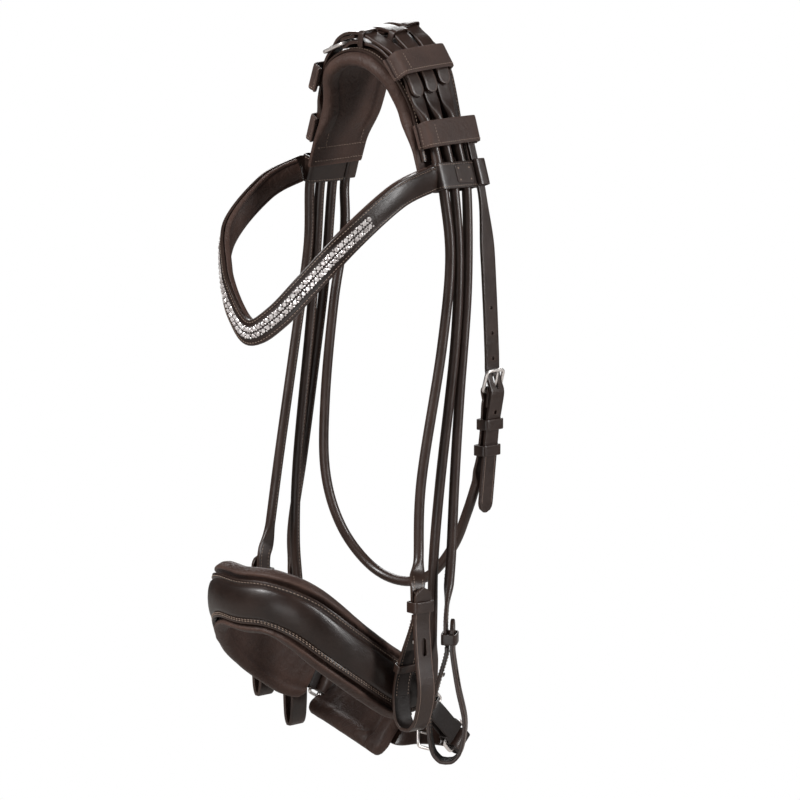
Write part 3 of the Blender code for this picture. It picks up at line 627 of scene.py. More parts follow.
def arch_side(s):
    return (arch(s, 1, 0) - arch(s, 0, 0)).normalized()


def line_y(line, s):
    top, low = LINE_Y[line]
    return top + (low - top) * min(1.0, max(0.0, s) / LINE_RUN)


def pad_edges(s):
    """The pad's front and back edges, cut back behind the ears."""
    cut = blend(abs(s), 20, 66)
    return -41 + 12 * cut, 31 - 4 * blend(abs(s), 40, PAD_END)


def pad_section(front, back, flat):
    """The pad's section: rolled edges, sewn grooves inside them and a crowned middle."""
    lift = 1.0 - flat
    radius = 5.4 * lift + 1.7 * flat
    mid = 7.7 - radius
    groove = PAD_GROOVE
    inside = back - front - 2 * radius
    points = []
    for k in range(PAD_UNDER_POINTS + 1):
        y = front + radius + inside * k / PAD_UNDER_POINTS
        dip = bump_at(y, front + groove, 1.9) + bump_at(y, back - groove, 1.9)
        share = min(1, max(0, (y - front - groove) / (back - front - 2 * groove)))
        crown = 0.8 * math.sin(math.pi * share)
        panel = blend(y, front + groove - 1, front + groove + 3)
        panel *= blend(-y, groove - back - 1, groove - back + 3)
        points.append((y, mid - radius + (2.6 * dip + 0.3 + 2.2 * panel - crown) * lift * 0.9))

    def roll(y, first):
        for k in range(1, 8):
            a = first + math.pi * k / 8
            points.append((y + math.cos(a) * radius, mid + math.sin(a) * radius))
    roll(back - radius, -math.pi / 2)
    for k in range(12):
        y = back - radius - inside * k / 11
        dip = bump_at(y, front + groove, 2.0) + bump_at(y, back - groove, 2.0)
        low = min(1.0, abs(y - front - radius) / 2, abs(back - radius - y) / 2)
        points.append((y, mid + radius - 1.1 * low * lift - 0.9 * dip * lift))
    roll(front + radius, math.pi / 2)
    return points


def make_poll_pad():
    rings = []
    stations = 150
    for i in range(stations + 1):
        s = -PAD_END + 2 * PAD_END * i / stations
        flat = blend(abs(s), PAD_END - 46, PAD_END - 15)
        ring = []
        for y, height in pad_section(*pad_edges(s), flat):
            spot = arch(s, y, height)
            wave = noise.noise(spot / 16.0) * 0.45 + noise.noise(spot / 6.0) * 0.16
            ring.append(arch(s, y, height + wave * (1 - flat) * (0.6 if height < 4 else 0.1)))
        rings.append(ring)
    draw_in(rings, (0.985,))
    pad = skin("poll_cushion", rings, SOFT, ["poll_pad"], angle=60)
    lines = []
    for sign in (1, -1):
        for inset in (16.0, 5.0):
            s = sign * (PAD_END - inset)
            front, back = pad_edges(s)
            ys = [front + 2.5 + (back - front - 5) * k / 30 for k in range(31)]
            lines.append(([arch(s, y, 2.58) for y in ys], [-arch_out(s)] * 31))
    for edge, inward in ((0, 10.0), (1, -10.0)):
        for sign in (1, -1):
            places = [sign * (PAD_END - 17) * k / 59 for k in range(60)]
            lines.append(([arch(s, pad_edges(s)[edge] + inward, 2.1) for s in places],
                          [-arch_out(s) for s in places]))
    sewing("poll_cushion_sewing", lines)


def make_crown():
    """The broad strap sewn on the cushion, with a crowned top and stitched edges."""
    rings = []
    stations = 130
    lines = [([], []), ([], [])]
    low = CROWN_MID - CROWN_THICK / 2
    for i in range(stations + 1):
        s = -CROWN_END + 2 * CROWN_END * i / stations
        front, back = pad_edges(s)
        front, back = front + 4.4, back - 4.4
        high = CROWN_MID + CROWN_THICK / 2 * min(1.0, (CROWN_END - abs(s)) / 3.0 + 0.7)
        section = [(front + 0.3, low), (back - 0.3, low), (back, low + 0.3), (back, high - 0.6)]
        section += [(back - 0.6, high - 0.1), (back - 3, high), (front + 3, high)]
        section += [(front + 0.6, high - 0.1), (front, high - 0.6), (front, low + 0.3)]
        rings.append([arch(s, y, height) for y, height in section])
        for (line, ups), y in zip(lines, (front + 2.2, back - 2.2)):
            line.append(arch(s, y, high + 0.05))
            ups.append(arch_out(s))
    skin("crown_leather", rings, GLOSS, ["crown_strap"])
    sewing("crown_sewing", lines)


def make_bands():
    """The bridges over the straps: an upper and a lower one on each side."""
    foot = CROWN_MID + CROWN_THICK / 2 + GAP + 1.0
    for side, sign in SIDES.items():
        places = ("upper", UPPER_BAND_S[side], UPPER_BAND_TOP), ("lower", LOWER_BAND_S, BAND_TOP)
        for place, s, top in places:
            front = line_y("bradoon", s) - FLAT_WIDTH / 2 - 3.5
            back = line_y("curb", s) + FLAT_WIDTH / 2 + 2.2
            if place == "lower":
                front += 2.2
                back = THROAT_Y + ROLL / 2 + 1.8
            knots = [(front - 4, foot), (front - 0.6, foot + 0.8), (front + 0.2, top - 3), (front + 4, top),
                     ((front + back) / 2, top + 0.8), (back - 4, top), (back - 0.2, top - 3),
                     (back + 0.6, foot + 0.8), (back + 4, foot)]
            path = spline([arch(sign * s, y, height) for y, height in knots], 1.2)
            across = arch_along(sign * s)
            node = f"{side}_{place}_band"
            strap(f"{node}_leather", path, across, lambda t: BAND_WIDTH - 1.6 * bump_at(t, 0.02, 0.06), 2.3,
                  0.34, NUBUCK, [node], sides=36)
            rows = frames_along(path, across)
            _, _, wide, tall = rows[len(rows) // 2]
            up = 1 if tall.dot(arch_out(sign * s)) > 0 else -1
            down = 1 if wide.dot(across) * sign > 0 else -1
            lines = [seam(rows, down * 7.9, up * 1.1232)]
            for k in (5, len(path) // 4):
                point, _, wide, tall = rows[k]
                spots = [point + wide * w + tall * (up * 1.04) for w in range(-7, 8)]
                lines.append((spots, [tall * up] * 15))
            sewing(f"{node}_sewing", lines, pitch=2.2)


# ---------------------------------------------------------------- cheeks
def bar_fold(heel, along, out):
    """The route of a strap that comes back under itself round a buckle's bar."""
    return [heel + along * 12 + out * 1.9, heel + along * 5 + out * 2.8, heel + out * FOLD,
            heel - along * FOLD * 0.75 + out * FOLD * 0.7, heel - along * FOLD,
            heel - along * FOLD * 0.75 - out * FOLD * 0.7, heel - out * FOLD,
            heel + along * 7 - out * 1.7]


def crown_route(line, side, sign):
    """A cheek's route over the poll: near ones fold round the buckle, far ones go through it."""
    heel_s = BUCKLE_S[line] + BUCKLE_HALF
    if side == "near":
        heel = arch(heel_s, line_y(line, heel_s), HEEL_HEIGHT)
        route = bar_fold(heel, arch_along(heel_s), arch_out(heel_s))
        stations = [(heel_s + POLL_KEEPER_AT, UNDER_STRAP + 0.6), (heel_s + 26, UNDER_STRAP + 0.2),
                    (36, UNDER_STRAP), (48, UNDER_STRAP)]
    else:
        tip = TIP_S[line]
        climb = [(heel_s + ds, height) for ds, height in BILLET_CLIMB if heel_s + ds < tip - 18]
        route = [arch(s, line_y(line, s), height)
                 for s, height in [(tip, OVER_STRAP), (tip - 12, OVER_STRAP), *climb]]
        stations = [(34, UNDER_STRAP), (48, UNDER_STRAP)]
    for s, height in stations + [(60, 14.0), (74, ROLL_LAYER), (92, ROLL_LAYER), (108, ROLL_LAYER)]:
        route.append(arch(sign * s, line_y(line, s), height))
    return route


def loop_frame(name):
    """A bit loop's lowest point, its outward, width and rising directions and its half width."""
    sign, (x, y), bottom, yaw, half, lean = BIT_LOOPS[name]
    turn = math.radians(yaw)
    out = Vector((sign * math.cos(turn), math.sin(turn), 0))
    wide = Vector((-sign * math.sin(turn), math.cos(turn), 0))
    rise = Vector((0, 0, 1)) + out * lean / LOOP_HIGH
    return Vector((sign * x, y, bottom)), out, wide, rise, half


def make_cheek(line, side, sign, run):
    """A cheek strap: flat over the poll, rolled down the face and flat again at its foot."""
    end_across = NOSE_TO_POLL
    points = [(sign * x, y, z) for x, y, z in run]
    if line != "noseband":
        base, out, end_across, rise, _ = loop_frame(f"{side}_{line}")
        end = base + rise * (LOOP_HIGH * LOOP_INNER_END + LOOP_THICK / 2 + 1.0)
        points += [end + Vector((0, 0, 20)) - out * 0.8, end]
    end_across = toward(end_across, NOSE_TO_POLL)
    crown = spline(crown_route(line, side, sign), CROWN_STEP)
    path = crown + spline([crown[-1], *points], FREE_STEP)[1:]
    last = len(path) - 1
    crown_share = (len(crown) - 1) / last
    roll_from, roll_to = [(len(crown) - 1 - before / CROWN_STEP) / last for before in ROLLS_BEFORE_END]
    low_from, low_to = [(last - before / FREE_STEP) / last for before in FLATTENS_BEFORE_FOOT]

    def across(t):
        if t > crown_share:
            return NOSE_TO_POLL.lerp(end_across, blend(t, low_from - 0.1, low_to))
        height = path[round(t * last)]
        return Vector((0, 1, ARCH_RISE * max(0.25, (height.z + ARCH_RADIUS) / (ARCH_RADIUS + 15))))

    def flattened(flat, rolled, share=lambda t: 1.0):
        """Goes from flat to rolled under the bands and back to flat at the cheek's foot."""
        measure = easing(flat, rolled, roll_from, roll_to)

        def value(t):
            low = blend(t, low_from, low_to)
            return measure(t) * share(t) * (1 - low) + flat * low
        return value

    def tip(t):
        rounded = min(1.0, t / (TIP_LENGTH / CROWN_STEP / last))
        return math.sqrt(max(0.02, 1 - (1 - rounded) ** 2)) if side == "far" else 1.0
    width = flattened(FLAT_WIDTH, ROLL, tip)
    node = f"{side}_{line}_cheek"
    strap(f"{node}_leather", path, across, width, flattened(FLAT_THICK, ROLL), flattened(0.25, 1.0),
          STRAP, [node], sides=24)
    rows = frames_along(path, across, normals=[Vector((-sign, 0, 0))] * len(path))
    seams = [seam(rows[round(last * roll_to):round(last * low_from)], 0, ROLL / 2 - 0.02)]
    if line != "noseband":
        foot = rows[round(last * low_to):last - 1]
        lift = FLAT_THICK / 2 + 0.02
        seams += [seam(foot, offset, height) for offset in (-3.6, 3.6) for height in (-lift, lift)]
    sewing(f"{node}_sewing", seams, pitch=2.6, radius=0.2)
    if side == "far":
        out_of_arch = [point - Vector((0, point.y, -ARCH_RADIUS)) for point in path]
        rows = frames_along(path, across, normals=out_of_arch)
        reach = round(TIP_CREASE_LENGTH / CROWN_STEP)
        edge, ups = [], []
        for sense, order in ((-1, range(reach, 0, -1)), (1, range(1, reach + 1))):
            for k in order:
                point, _, wide, up = rows[k]
                offset = sense * max(0.0, width(k / last) / 2 - 1.5)
                edge.append(point + wide * offset + up * (FLAT_THICK / 2 - 0.09))
                ups.append(up)
        creases(f"{node}_tip_crease", [(edge, ups)])


# ---------------------------------------------------------------- buckles
def make_buckle(name, heel, toe, u, half_u, radius, out):
    """A wire frame between its heel bar and its toe bar, and the tongue that turns on the heel."""
    v = (toe - heel).normalized()
    wire_frame(f"{name}_buckle_frame", f"{name}_buckle", (heel + toe) / 2, u, v, half_u,
               (toe - heel).length / 2, radius)
    tip = toe + out * (WIRE / 2 + 1.2) - v * 0.5
    along = (tip - heel).normalized()
    lift = u.cross(tip - heel).normalized()
    eye = WIRE / 2 + 1.3
    path = []
    for k in range(28, -1, -1):
        angle = math.radians(-150 + 240 * k / 28)
        path.append(heel - along * math.cos(angle) * eye - lift * math.sin(angle) * eye)
    path += spline([path[-1], heel.lerp(tip, 0.5) + lift * 1.6, tip], 0.7)[1:]
    node = f"{name}_tongue"
    strap(f"{node}_pin", path, u, easing(2.0, 1.5, 0.7, 1), 1.6, 0.8, STEEL, [node], node, sides=16)


def make_poll_buckle(line):
    middle = BUCKLE_S[line]
    toe_s, heel_s = middle - BUCKLE_HALF, middle + BUCKLE_HALF
    y = line_y(line, middle)
    toe, heel = arch(toe_s, y, TOE_HEIGHT), arch(heel_s, y, HEEL_HEIGHT)
    make_buckle(line, heel, toe, arch_side(middle), FLAT_WIDTH / 2 + 1.7, WIRE / 2 + 0.2,
                arch_out(toe_s))
    s = heel_s + POLL_KEEPER_AT
    low, high = POLL_KEEPER_HEIGHTS
    centre = arch(s, line_y(line, s), (low + high) / 2)
    keeper(f"{line}_poll_keeper", centre, arch_side(s), arch_out(s), FLAT_WIDTH / 2 + 1.4,
           (high - low) / 2, 5.0, 1.2)


# ---------------------------------------------------------------- bit loops
def loop_path(name):
    """The billet's middle line: down outside, across the flat seat, and up inside."""
    base, out, _, rise, half = loop_frame(name)
    flat = half * SEAT_SHARE
    rows = [(4.2, 1.0), (4.2, 0.82), (4.6, 0.74), (max(4.4, half * 0.62), 0.52), (half, 0.28),
            (half * 0.80, 0.085), (flat * 1.9, 0.012), (flat * 0.5, 0), (-flat * 0.5, 0),
            (-flat * 1.9, 0.012), (-half * 0.80, 0.085), (-half * 0.98, 0.28), (-half * 0.55, 0.52),
            (-0.6, 0.74), (0, LOOP_INNER_END)]
    return spline([base + out * u + rise * (LOOP_THICK / 2 + LOOP_HIGH * share) for u, share in rows],
                  LOOP_STEP)


def slots_through(obj, holes, axis, radius, stretch):
    """Cuts upright slots with rounded ends through a piece, along axis."""
    u = Vector((0, 0, 1))
    u = (u - axis * u.dot(axis)).normalized()
    v = axis.cross(u)
    for centre in holes:
        bm = bmesh.new()
        section = [u * (radius * c + math.copysign(stretch / 2, c)) + v * radius * s
                   for c, s in turns(24, 0.5)]
        loft(bm, [[centre + axis * end + spot for spot in section] for end in (-5, 5)])
        bmesh.ops.recalc_face_normals(bm, faces=bm.faces)
        mesh = bpy.data.meshes.new("cutter")
        bm.to_mesh(mesh)
        bm.free()
        cutter = bpy.data.objects.new("cutter", mesh)
        bpy.context.scene.collection.objects.link(cutter)
        modifier = obj.modifiers.new("slot", "BOOLEAN")
        modifier.operation = "DIFFERENCE"
        modifier.solver = "EXACT"
        modifier.object = cutter
        with bpy.context.temp_override(object=obj, active_object=obj):
            bpy.ops.object.modifier_apply(modifier=modifier.name)
        bpy.data.objects.remove(cutter, do_unlink=True)
    obj.data.set_sharp_from_angle(angle=math.radians(40))


def strand_at(strand, height, reach):
    """The strand's point at this height, and the strand's direction there."""
    k = min(range(1, len(strand) - 1), key=lambda i: abs(strand[i].z - height))
    return strand[k], (strand[k + reach] - strand[k - reach]).normalized()


def make_bit_loop(name):
    base, out, wide, rise, half = loop_frame(name)
    path = loop_path(name)
    last = len(path) - 1
    heart = base + rise * LOOP_HIGH * 0.3

    def width(t):
        tip = math.sqrt(max(0.03, 1 - (1 - min(1.0, t * last * LOOP_STEP / 8.5)) ** 2))
        return LOOP_WIDTH * tip * (1 - 0.3 * blend(t, 0.8, 1.0))
    loop = strap(f"{name}_billet", path, wide, width, LOOP_THICK, 0.22, STRAP, [f"{name}_loop"], sides=32)
    # Painted shade: the faces on the loop's inside get the near-black leather.
    loop.data.materials.append(DARK_AND_SHADE_LEATHER)
    for face in loop.data.polygons:
        inward = (heart * MM - face.center).normalized()
        if face.normal.dot(inward) > 0.45 and abs(face.normal.dot(wide)) < 0.3:
            face.material_index = 1
    slots_through(loop, [base + out * (half * 0.5 + 5.0) + rise * LOOP_HIGH * 0.6], out, 2.2, 9.0)
    inner = frames_along(path, wide)[round(last * 0.68):last - 1]
    seams = [seam(inner, offset, lift) for offset in (-5.6, 5.6) for lift in (1.42, -1.42)]
    sewing(f"{name}_billet_sewing", seams, pitch=2.5, radius=0.22)
    outer = slice(5, round(last * 0.5))
    rows = frames_along(path, wide, normals=[point - heart for point in path])[outer]
    margins = [width(k / last) / 2 - 1.2 for k in range(last)][outer]
    creases(f"{name}_creases",
            [([point + wide * sense * margin + up * (LOOP_THICK / 2)
               for (point, _, wide, up), margin in zip(rows, margins)], [up for _, _, _, up in rows])
             for sense in (-1, 1)])
    keeper(f"{name}_keeper", base + rise * (LOOP_HIGH * 0.87 + 1) + out * 2.1, wide, out,
           LOOP_WIDTH / 2 + 1.2, 5.4, 8.0, 1.4)
    strand = path[len(path) // 2:]
    centre = node_middle(f"{name}_runner")
    _, lean = strand_at(strand, centre.z, 3)
    keeper(f"{name}_runner", centre, wide, wide.cross(lean).normalized(), LOOP_WIDTH / 2 + 1.1, 3.0,
           6.0, 1.2, body=f"{name}_runner")
    seat, lean = strand_at(strand, base.z + LOOP_HIGH * STUD_SHARE, 1)
    face = toward(wide.cross(lean).normalized(), out)
    foot = seat + face * (LOOP_THICK / 2 - 0.1)
    knob = [(0.0, 1.1), (0.7, 1.1), (0.9, 1.7), (1.3, 1.75), (1.65, 1.4), (1.85, 0.6)]
    rings = [[foot + face * lift + (wide * c + lean * s) * radius for c, s in turns(20)]
             for lift, radius in knob]
    skin(f"{name}_hook_stud", rings, STEEL, [f"{name}_stud"])


def node_middle(node):
    low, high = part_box(node)
    return (Vector(low) + Vector(high)) / 2 / MM


# ---------------------------------------------------------------- browband
def mirrored(half):
    return [(-x, y, z) for x, y, z in half[:0:-1]] + list(half)


def steps_along(path):
    return [path[min(i + 1, len(path) - 1)] - path[max(i - 1, 0)] for i in range(len(path))]


def outward(path):
    """Level directions that point out of a band that goes round the head."""
    return [Vector((step.y, -step.x, 0)).normalized() for step in steps_along(path)]


def lift_path(path, normals, distance):
    return [point + normal * distance for point, normal in zip(path, normals)]


def across_of(path, normals):
    rows = [step.cross(normal).normalized() for step, normal in zip(steps_along(path), normals)]
    return lambda t: rows[round(t * (len(rows) - 1))]


def band_rows(path, normals):
    return frames_along(path, across_of(path, normals), normals=normals)


def band_rings(path, normals, section):
    """Rings of a band: section(t) gives (across, outward) points."""
    last = len(path) - 1
    return [[point + wide * u + up * v for u, v in section(i / last)]
            for i, (point, _, wide, up) in enumerate(band_rows(path, normals))]


def round_stone(bm, centre, u, v, up, radius, turn):
    """A cut stone: girdle, crown facets and a flat table."""
    rings = []
    for height, scale, twist in ((-0.2, 0.80, 0), (0.05, 1.0, 0), (0.36, 0.80, 0.5), (0.50, 0.52, 0)):
        ring = []
        for k in range(8):
            a = math.tau * (k + twist) / 8 + turn
            ring.append(centre + (u * math.cos(a) + v * math.sin(a)) * radius * scale
                        + up * radius * height)
        rings.append(ring)
    loft(bm, rings)


def make_browband():
    path = spline([(-70.6, -22.8, -88.6), *BROW_FAR, *BROW_NEAR, (70.8, -22.6, -87.4)], 2.4)
    normals = outward(path)
    half = BROW_WIDTH / 2
    leather_section = [(-half, -0.9), (-half + 0.4, -1.3), (half - 0.4, -1.3), (half, -0.9), (half, 0.7),
                       (half - 0.5, 1.2), (half - 1.5, 1.3), (half - 2.9, 1.0), (half - 3.9, 1.35),
                       (0, 1.45), (-half + 3.9, 1.35), (-half + 2.9, 1.0), (-half + 1.5, 1.3),
                       (-half + 0.5, 1.2), (-half, 0.7)]
    skin("browband_leather", band_rings(path, normals, lambda t: leather_section), GLOSS, ["browband"])
    rows = band_rows(path, normals)
    sewing("browband_sewing", [seam(rows, offset, 1.28) for offset in (-half + 2.0, half - 2.0)], pitch=2.6)

    pad_half = (BROW_WIDTH - 1) / 2
    lining_section = []
    for u, v in outline(2 * pad_half, 3.4, 0.35, 30, 0.5):
        groove = 0.9 * bump_at(abs(u), pad_half - 2.6, 0.7)
        lining_section.append((u, v + 1.3 if v > 0 else v - (0.5 * (1 - (u / pad_half) ** 2) - groove)))
    trimmed = slice(3, -3)
    inner = lift_path(path, normals, -4.6)[trimmed]
    rings = band_rings(inner, normals[trimmed], lambda t: lining_section)
    lining = skin("browband_cushion", rings, SOFT, ["browband_lining"], angle=60)

    keep = round(len(path) * (1 - CRYSTAL_SHARE) / 2)
    strip = lift_path(path, normals, 2.9 + GAP)[keep:-keep]

    def bed_section(t):
        grow = min(1.0, min(t, 1 - t) * 40 + 0.5)
        return [(-4.9 * grow, -2.2), (4.9 * grow, -2.2), (4.9 * grow, -1.5), (4.4 * grow, -1.2),
                (-4.4 * grow, -1.2), (-4.9 * grow, -1.5)]
    skin("stone_bed", band_rings(strip, normals[keep:-keep], bed_section), DARK_AND_SHADE_LEATHER, ["crystal_strip"])
    make_stones(strip)


def make_stones(strip):
    """Two staggered rows of large stones with small ones between and beside them."""
    step, pitch = 0.25, 4.7
    dense = resample(strip, step)
    rows = band_rows(dense, outward(dense))
    bm = bmesh.new()
    count = int((step * (len(dense) - 1) - 4) / pitch)
    for k in range(count * 2 + 1):
        point, tangent, wide, up = rows[min(len(rows) - 1, round((2 + k * pitch / 2) / step))]
        row = 1 if k % 2 else -1
        for offset, radius in ((row * 2.35, 1.85), (-row * 3.75, 0.80), (-row * 1.0, 0.78)):
            size = radius * DICE.uniform(0.92, 1.05)
            spot = point + wide * offset + up * (-1.15) + tangent * DICE.uniform(-0.15, 0.15)
            tilt = (up + wide * DICE.uniform(-0.1, 0.1) + tangent * DICE.uniform(-0.1, 0.1)).normalized()
            side = tilt.cross(tangent).normalized()
            round_stone(bm, spot, side.cross(tilt), side, tilt, size, DICE.uniform(0, 1))
    finish_mesh("brow_stones", bm, STONE, angle=5)


def make_brow_loops():
    """On each side the loop round the cheeks, its patch with four pins, and the throatlash's loop."""
    u = NOSE_TO_POLL
    for side, sign in SIDES.items():
        s = sign * BROW_LOOP_S
        v, along = arch_out(s), arch_along(s)
        centre = arch(s, -3.4, ROLL_LAYER)
        path = oval(centre, u, v, 18.8, BROW_LOOP_HALF, 0.3, 120)
        strap(f"{side}_brow_loop_leather", path, u.cross(v), 20.0, 1.6, 0.2, GLOSS,
              [f"{side}_brow_loop"], closed=True, sides=28)
        rows = frames_along(path, u.cross(v), True, [point - centre for point in path])
        sewing(f"{side}_brow_loop_sewing", [seam(rows, offset, 0.83) for offset in (-8.3, 8.3)],
               pitch=2.6, radius=0.2)
        middle = arch(s, 2.6, ROLL_LAYER + BROW_LOOP_HALF + 0.8)
        patch = bmesh.new()
        loft(patch, [[middle + u * y + along * x + v * height
                      for y, x in outline(PATCH_WIDTH - ease, PATCH_HEIGHT - ease, 0.28, 48)]
                     for height, ease in ((0.0, 0.0), (0.45, 0.0), (0.7, 0.35))], foot=False)
        finish_mesh(f"{side}_brow_patch", patch, GLOSS)
        pins = bmesh.new()
        for y in (-PIN_Y, PIN_Y):
            for x in (-PIN_X, PIN_X):
                spot = middle + u * y + along * x + v * 0.7
                loft(pins, [[spot + v * rise + (u * c + along * s) * radius for c, s in turns(12)]
                            for rise, radius in ((-0.3, 0.62), (0.1, 0.62), (0.28, 0.3))])
        finish_mesh(f"{side}_brow_pins", pins, THREAD)
        keeper(f"{side}_throat_loop", arch(s, THROAT_Y + 0.4, ROLL_LAYER), u, v, 5.6, 5.6, 20.0, 1.2,
               square=0.5)


# ---------------------------------------------------------------- throatlash
def make_throatlash():
    level, side_way = NOSE_TO_POLL, Vector((1, 0, 0))
    step = 2.4
    top = [arch(s, THROAT_Y, ROLL_LAYER - 0.4) for s in THROAT_STATIONS]
    path = spline([*top, *THROAT_BILLET], step)
    last = len(path) - 1
    grow = easing(7.0, THROAT_WIDTH, 0.14, 0.3)

    def width(t):
        rest = (1 - t) * last * step
        return grow(t) * math.sqrt(max(0.05, 1 - (1 - min(1.0, rest / 8.0)) ** 2))
    billet = strap("throatlash_near_billet", path, level, width, 2.6, 0.22, STRAP, ["throatlash_billet"])
    near = [min(path, key=lambda point, z=z: abs(point.z - z)) for z in THROAT_HOLES]
    slots_through(billet, [Vector((point.x, point.y, z)) for point, z in zip(near, THROAT_HOLES)],
                  side_way, 1.4, 0.4)
    heel, toe = Vector(THROAT_HEEL), Vector(THROAT_TOE)
    slots_through(billet, [heel.lerp(toe, 0.45) + side_way * 1.5], side_way, 1.9, 6.0)
    tail = frames_along(path, level, normals=[side_way] * len(path))[round(last * 0.84):last - 2]
    creases("throatlash_billet_creases",
            [([point + level * offset + up * 1.33 for point, _, _, up in tail], [up for _, _, _, up in tail])
             for offset in (-5.0, 5.0)], 0.17)

    top = [arch(-s, THROAT_Y, ROLL_LAYER) for s in THROAT_STATIONS]
    rolled = spline([*top, *THROAT_ROLL], 4.0)
    fold = bar_fold(heel, Vector((0, 0, -1)), side_way)[::-1]
    roll = rolled + spline([rolled[-1], *THROAT_FLAT, *fold], 1.3)[1:]
    turn = (len(rolled) - 1) / (len(roll) - 1), (len(rolled) + 9) / (len(roll) - 1)
    strap("throatlash_rolled_strap", roll, level, easing(ROLL, THROAT_WIDTH, *turn),
          easing(ROLL, 2.4, *turn), easing(1.0, 0.25, *turn), STRAP, ["throatlash"], sides=24)
    out = toward((toe - heel).normalized().cross(level), side_way)
    make_buckle("throatlash", heel, toe, level, THROAT_WIDTH / 2 + 1.9, WIRE / 2 + 0.1, out)
    for node, spot, body in (("throatlash_keeper", (79.4, 26.6, -275.5), ROOT),
                             ("throatlash_runner", (78.6, 24.6, -295), "throatlash_runner")):
        keeper(node, spot, level, side_way, THROAT_WIDTH / 2 + 2.2, 5.4, 8.0, 1.4, body=body)


# ---------------------------------------------------------------- noseband and chin
def ring_seat(side):
    """Where a noseband ring's bar lies, and the ring's upward and backward directions."""
    x, y, z = NOSE_HALF[-1]
    bar = Vector((SIDES[side] * (x + 0.9), y, z)) - MUZZLE_BACK * 4
    if side == "near":
        return bar, NEAR_RING_UP, NEAR_RING_BACK
    return bar, MUZZLE_UP, MUZZLE_BACK


def make_ring(node, bar, up, back):
    wire_frame(f"{node}_bar", node, bar + back * RING_HALF[1], up, back, *RING_HALF, WIRE / 2, node)


def ring_fold(name, centre, up, back, half_u, half_v, width, thick):
    """The leather fold that holds a ring's bar, in near-black leather as painted shade."""
    path = oval(centre, back, up.cross(back), half_u, half_v, 0.6, 60)
    strap(name, path, up, width, thick, 0.25, DARK_AND_SHADE_LEATHER, closed=True, sides=20)


def make_noseband():
    path = spline(mirrored(NOSE_HALF), 3.0)
    normals = outward(path)

    def taper(t):
        return NOSE_WIDTH - 20 * blend(abs(2 * t - 1), 0.86, 0.97)

    def front_section(t):
        half, rise = taper(t) / 2, 1 - 0.75 * blend(abs(2 * t - 1), 0.80, 0.95)
        points = [(-half, -0.4), (-half + 0.8, -3.4), (half - 0.8, -3.4), (half, -0.4)]
        count = 24
        for k in range(count + 1):
            share = 1 - 2 * k / count
            u = half * share
            inner = max(0.0, 1 - (abs(share) * half / max(1.0, half - 4.2)) ** 2)
            margin = -0.1 - 0.5 * bump_at(abs(u), half - 4.0, 0.8)
            edge = 0.0 if k not in (0, count) else -0.5
            points.append((u, margin + edge + 3.6 * rise * inner ** 0.58))
        return points
    front = lift_path(path, normals, 4.2)
    skin("noseband_leather", band_rings(front, normals, front_section), GLOSS, ["noseband"], angle=60)
    rows = frames_along(front, across_of(path, normals), normals=normals)
    lines = [seam(rows, lambda t, edge=edge: edge * (taper(t) / 2 - 2.1), 0) for edge in (-1, 1)]
    low = -1 if rows[len(rows) // 2][2].z > 0 else 1
    second, ups = seam(rows, lambda t: low * (taper(t) / 2 - 3.3), 0.05)
    sewing("noseband_sewing", [*lines, (second[4:-4], ups[4:-4])], pitch=2.9, radius=0.27)

    half_pad = NOSE_PAD_WIDTH / 2

    def cushion_section(t):
        points = []
        narrow = 1 - 0.12 * blend(abs(2 * t - 1), 0.86, 1.0)
        for wide, v in outline(NOSE_PAD_WIDTH, 9.0, 0.5, 56, 0.55):
            u = wide * narrow
            if v > 0:
                v += 4.4 * bump_at(abs(u), half_pad * narrow - 3.8, 2.9) - 0.6
            else:
                v += 1.6 * bump_at(abs(u), half_pad * narrow - 9, 1.6) - 0.5 * (1 - (u / half_pad) ** 2)
            points.append((u, v + noise.noise(Vector((u / 9, v / 9, t * 46))) * 0.7))
        return points
    trimmed = slice(5, -5)
    back = lift_path(path, normals, -5.4)[trimmed]
    rings = band_rings(back, normals[trimmed], cushion_section)
    draw_in(rings, (0.80, 0.93, 0.98))
    pad = skin("noseband_cushion", rings, SOFT, ["noseband_padding"], angle=70)
    for side in SIDES:
        bar, up, back = ring_seat(side)
        make_ring(f"{side}_noseband_ring", bar, up, back)
        ring_fold(f"{side}_ring_fold", bar - back, up, back, 4.2, 3.1, 2 * RING_HALF[0] - 6.0, 1.3)


def chin_up(t):
    """The chin pad's width direction, from its far end to its near end."""
    return Vector((0, 0.84, 0.55)).lerp(Vector((0, 0.5, 0.87)), t)


def make_chin_pad():
    path = spline(CHIN_LINE, 1.6)
    half = CHIN_PAD_WIDTH / 2
    rings = []
    rows = frames_along(path, chin_up, normals=[-NOSE_TO_POLL] * len(path))
    for i, (point, _, wide, front) in enumerate(rows):
        t = i / (len(path) - 1)
        down = 1 if wide.z > 0 else -1
        ring = []
        for u, v in outline(CHIN_PAD_WIDTH, CHIN_PAD_THICK, 0.42, 60, 0.6):
            if v > 0:
                low = max(0.0, 1 - ((u * down + half - 6.8) / 6.8) ** 2) ** 0.5
                end = max(0.0, 1 - ((t - 0.915) / 0.085) ** 2) ** 0.5
                crease = bump_at(u * down, 15.0 - half, 1.8) * (1 - blend(t, 0.8, 0.86))
                crease += bump_at(t, 0.815, 0.02)
                v = v * 0.50 + 3.4 * max(low, end) - 1.9 * crease
            wave = 0.7 * noise.noise(Vector((u / 8, t * 12, v / 7)))
            ring.append(point + wide * (u * (1 - 0.04 * math.sin(math.pi * t))) + front * (v + wave))
        rings.append(ring)
    draw_in(rings, (0.72, 0.90, 0.97))
    pad = skin("chin_cushion", rings, SOFT, ["chin_pad"], angle=70)


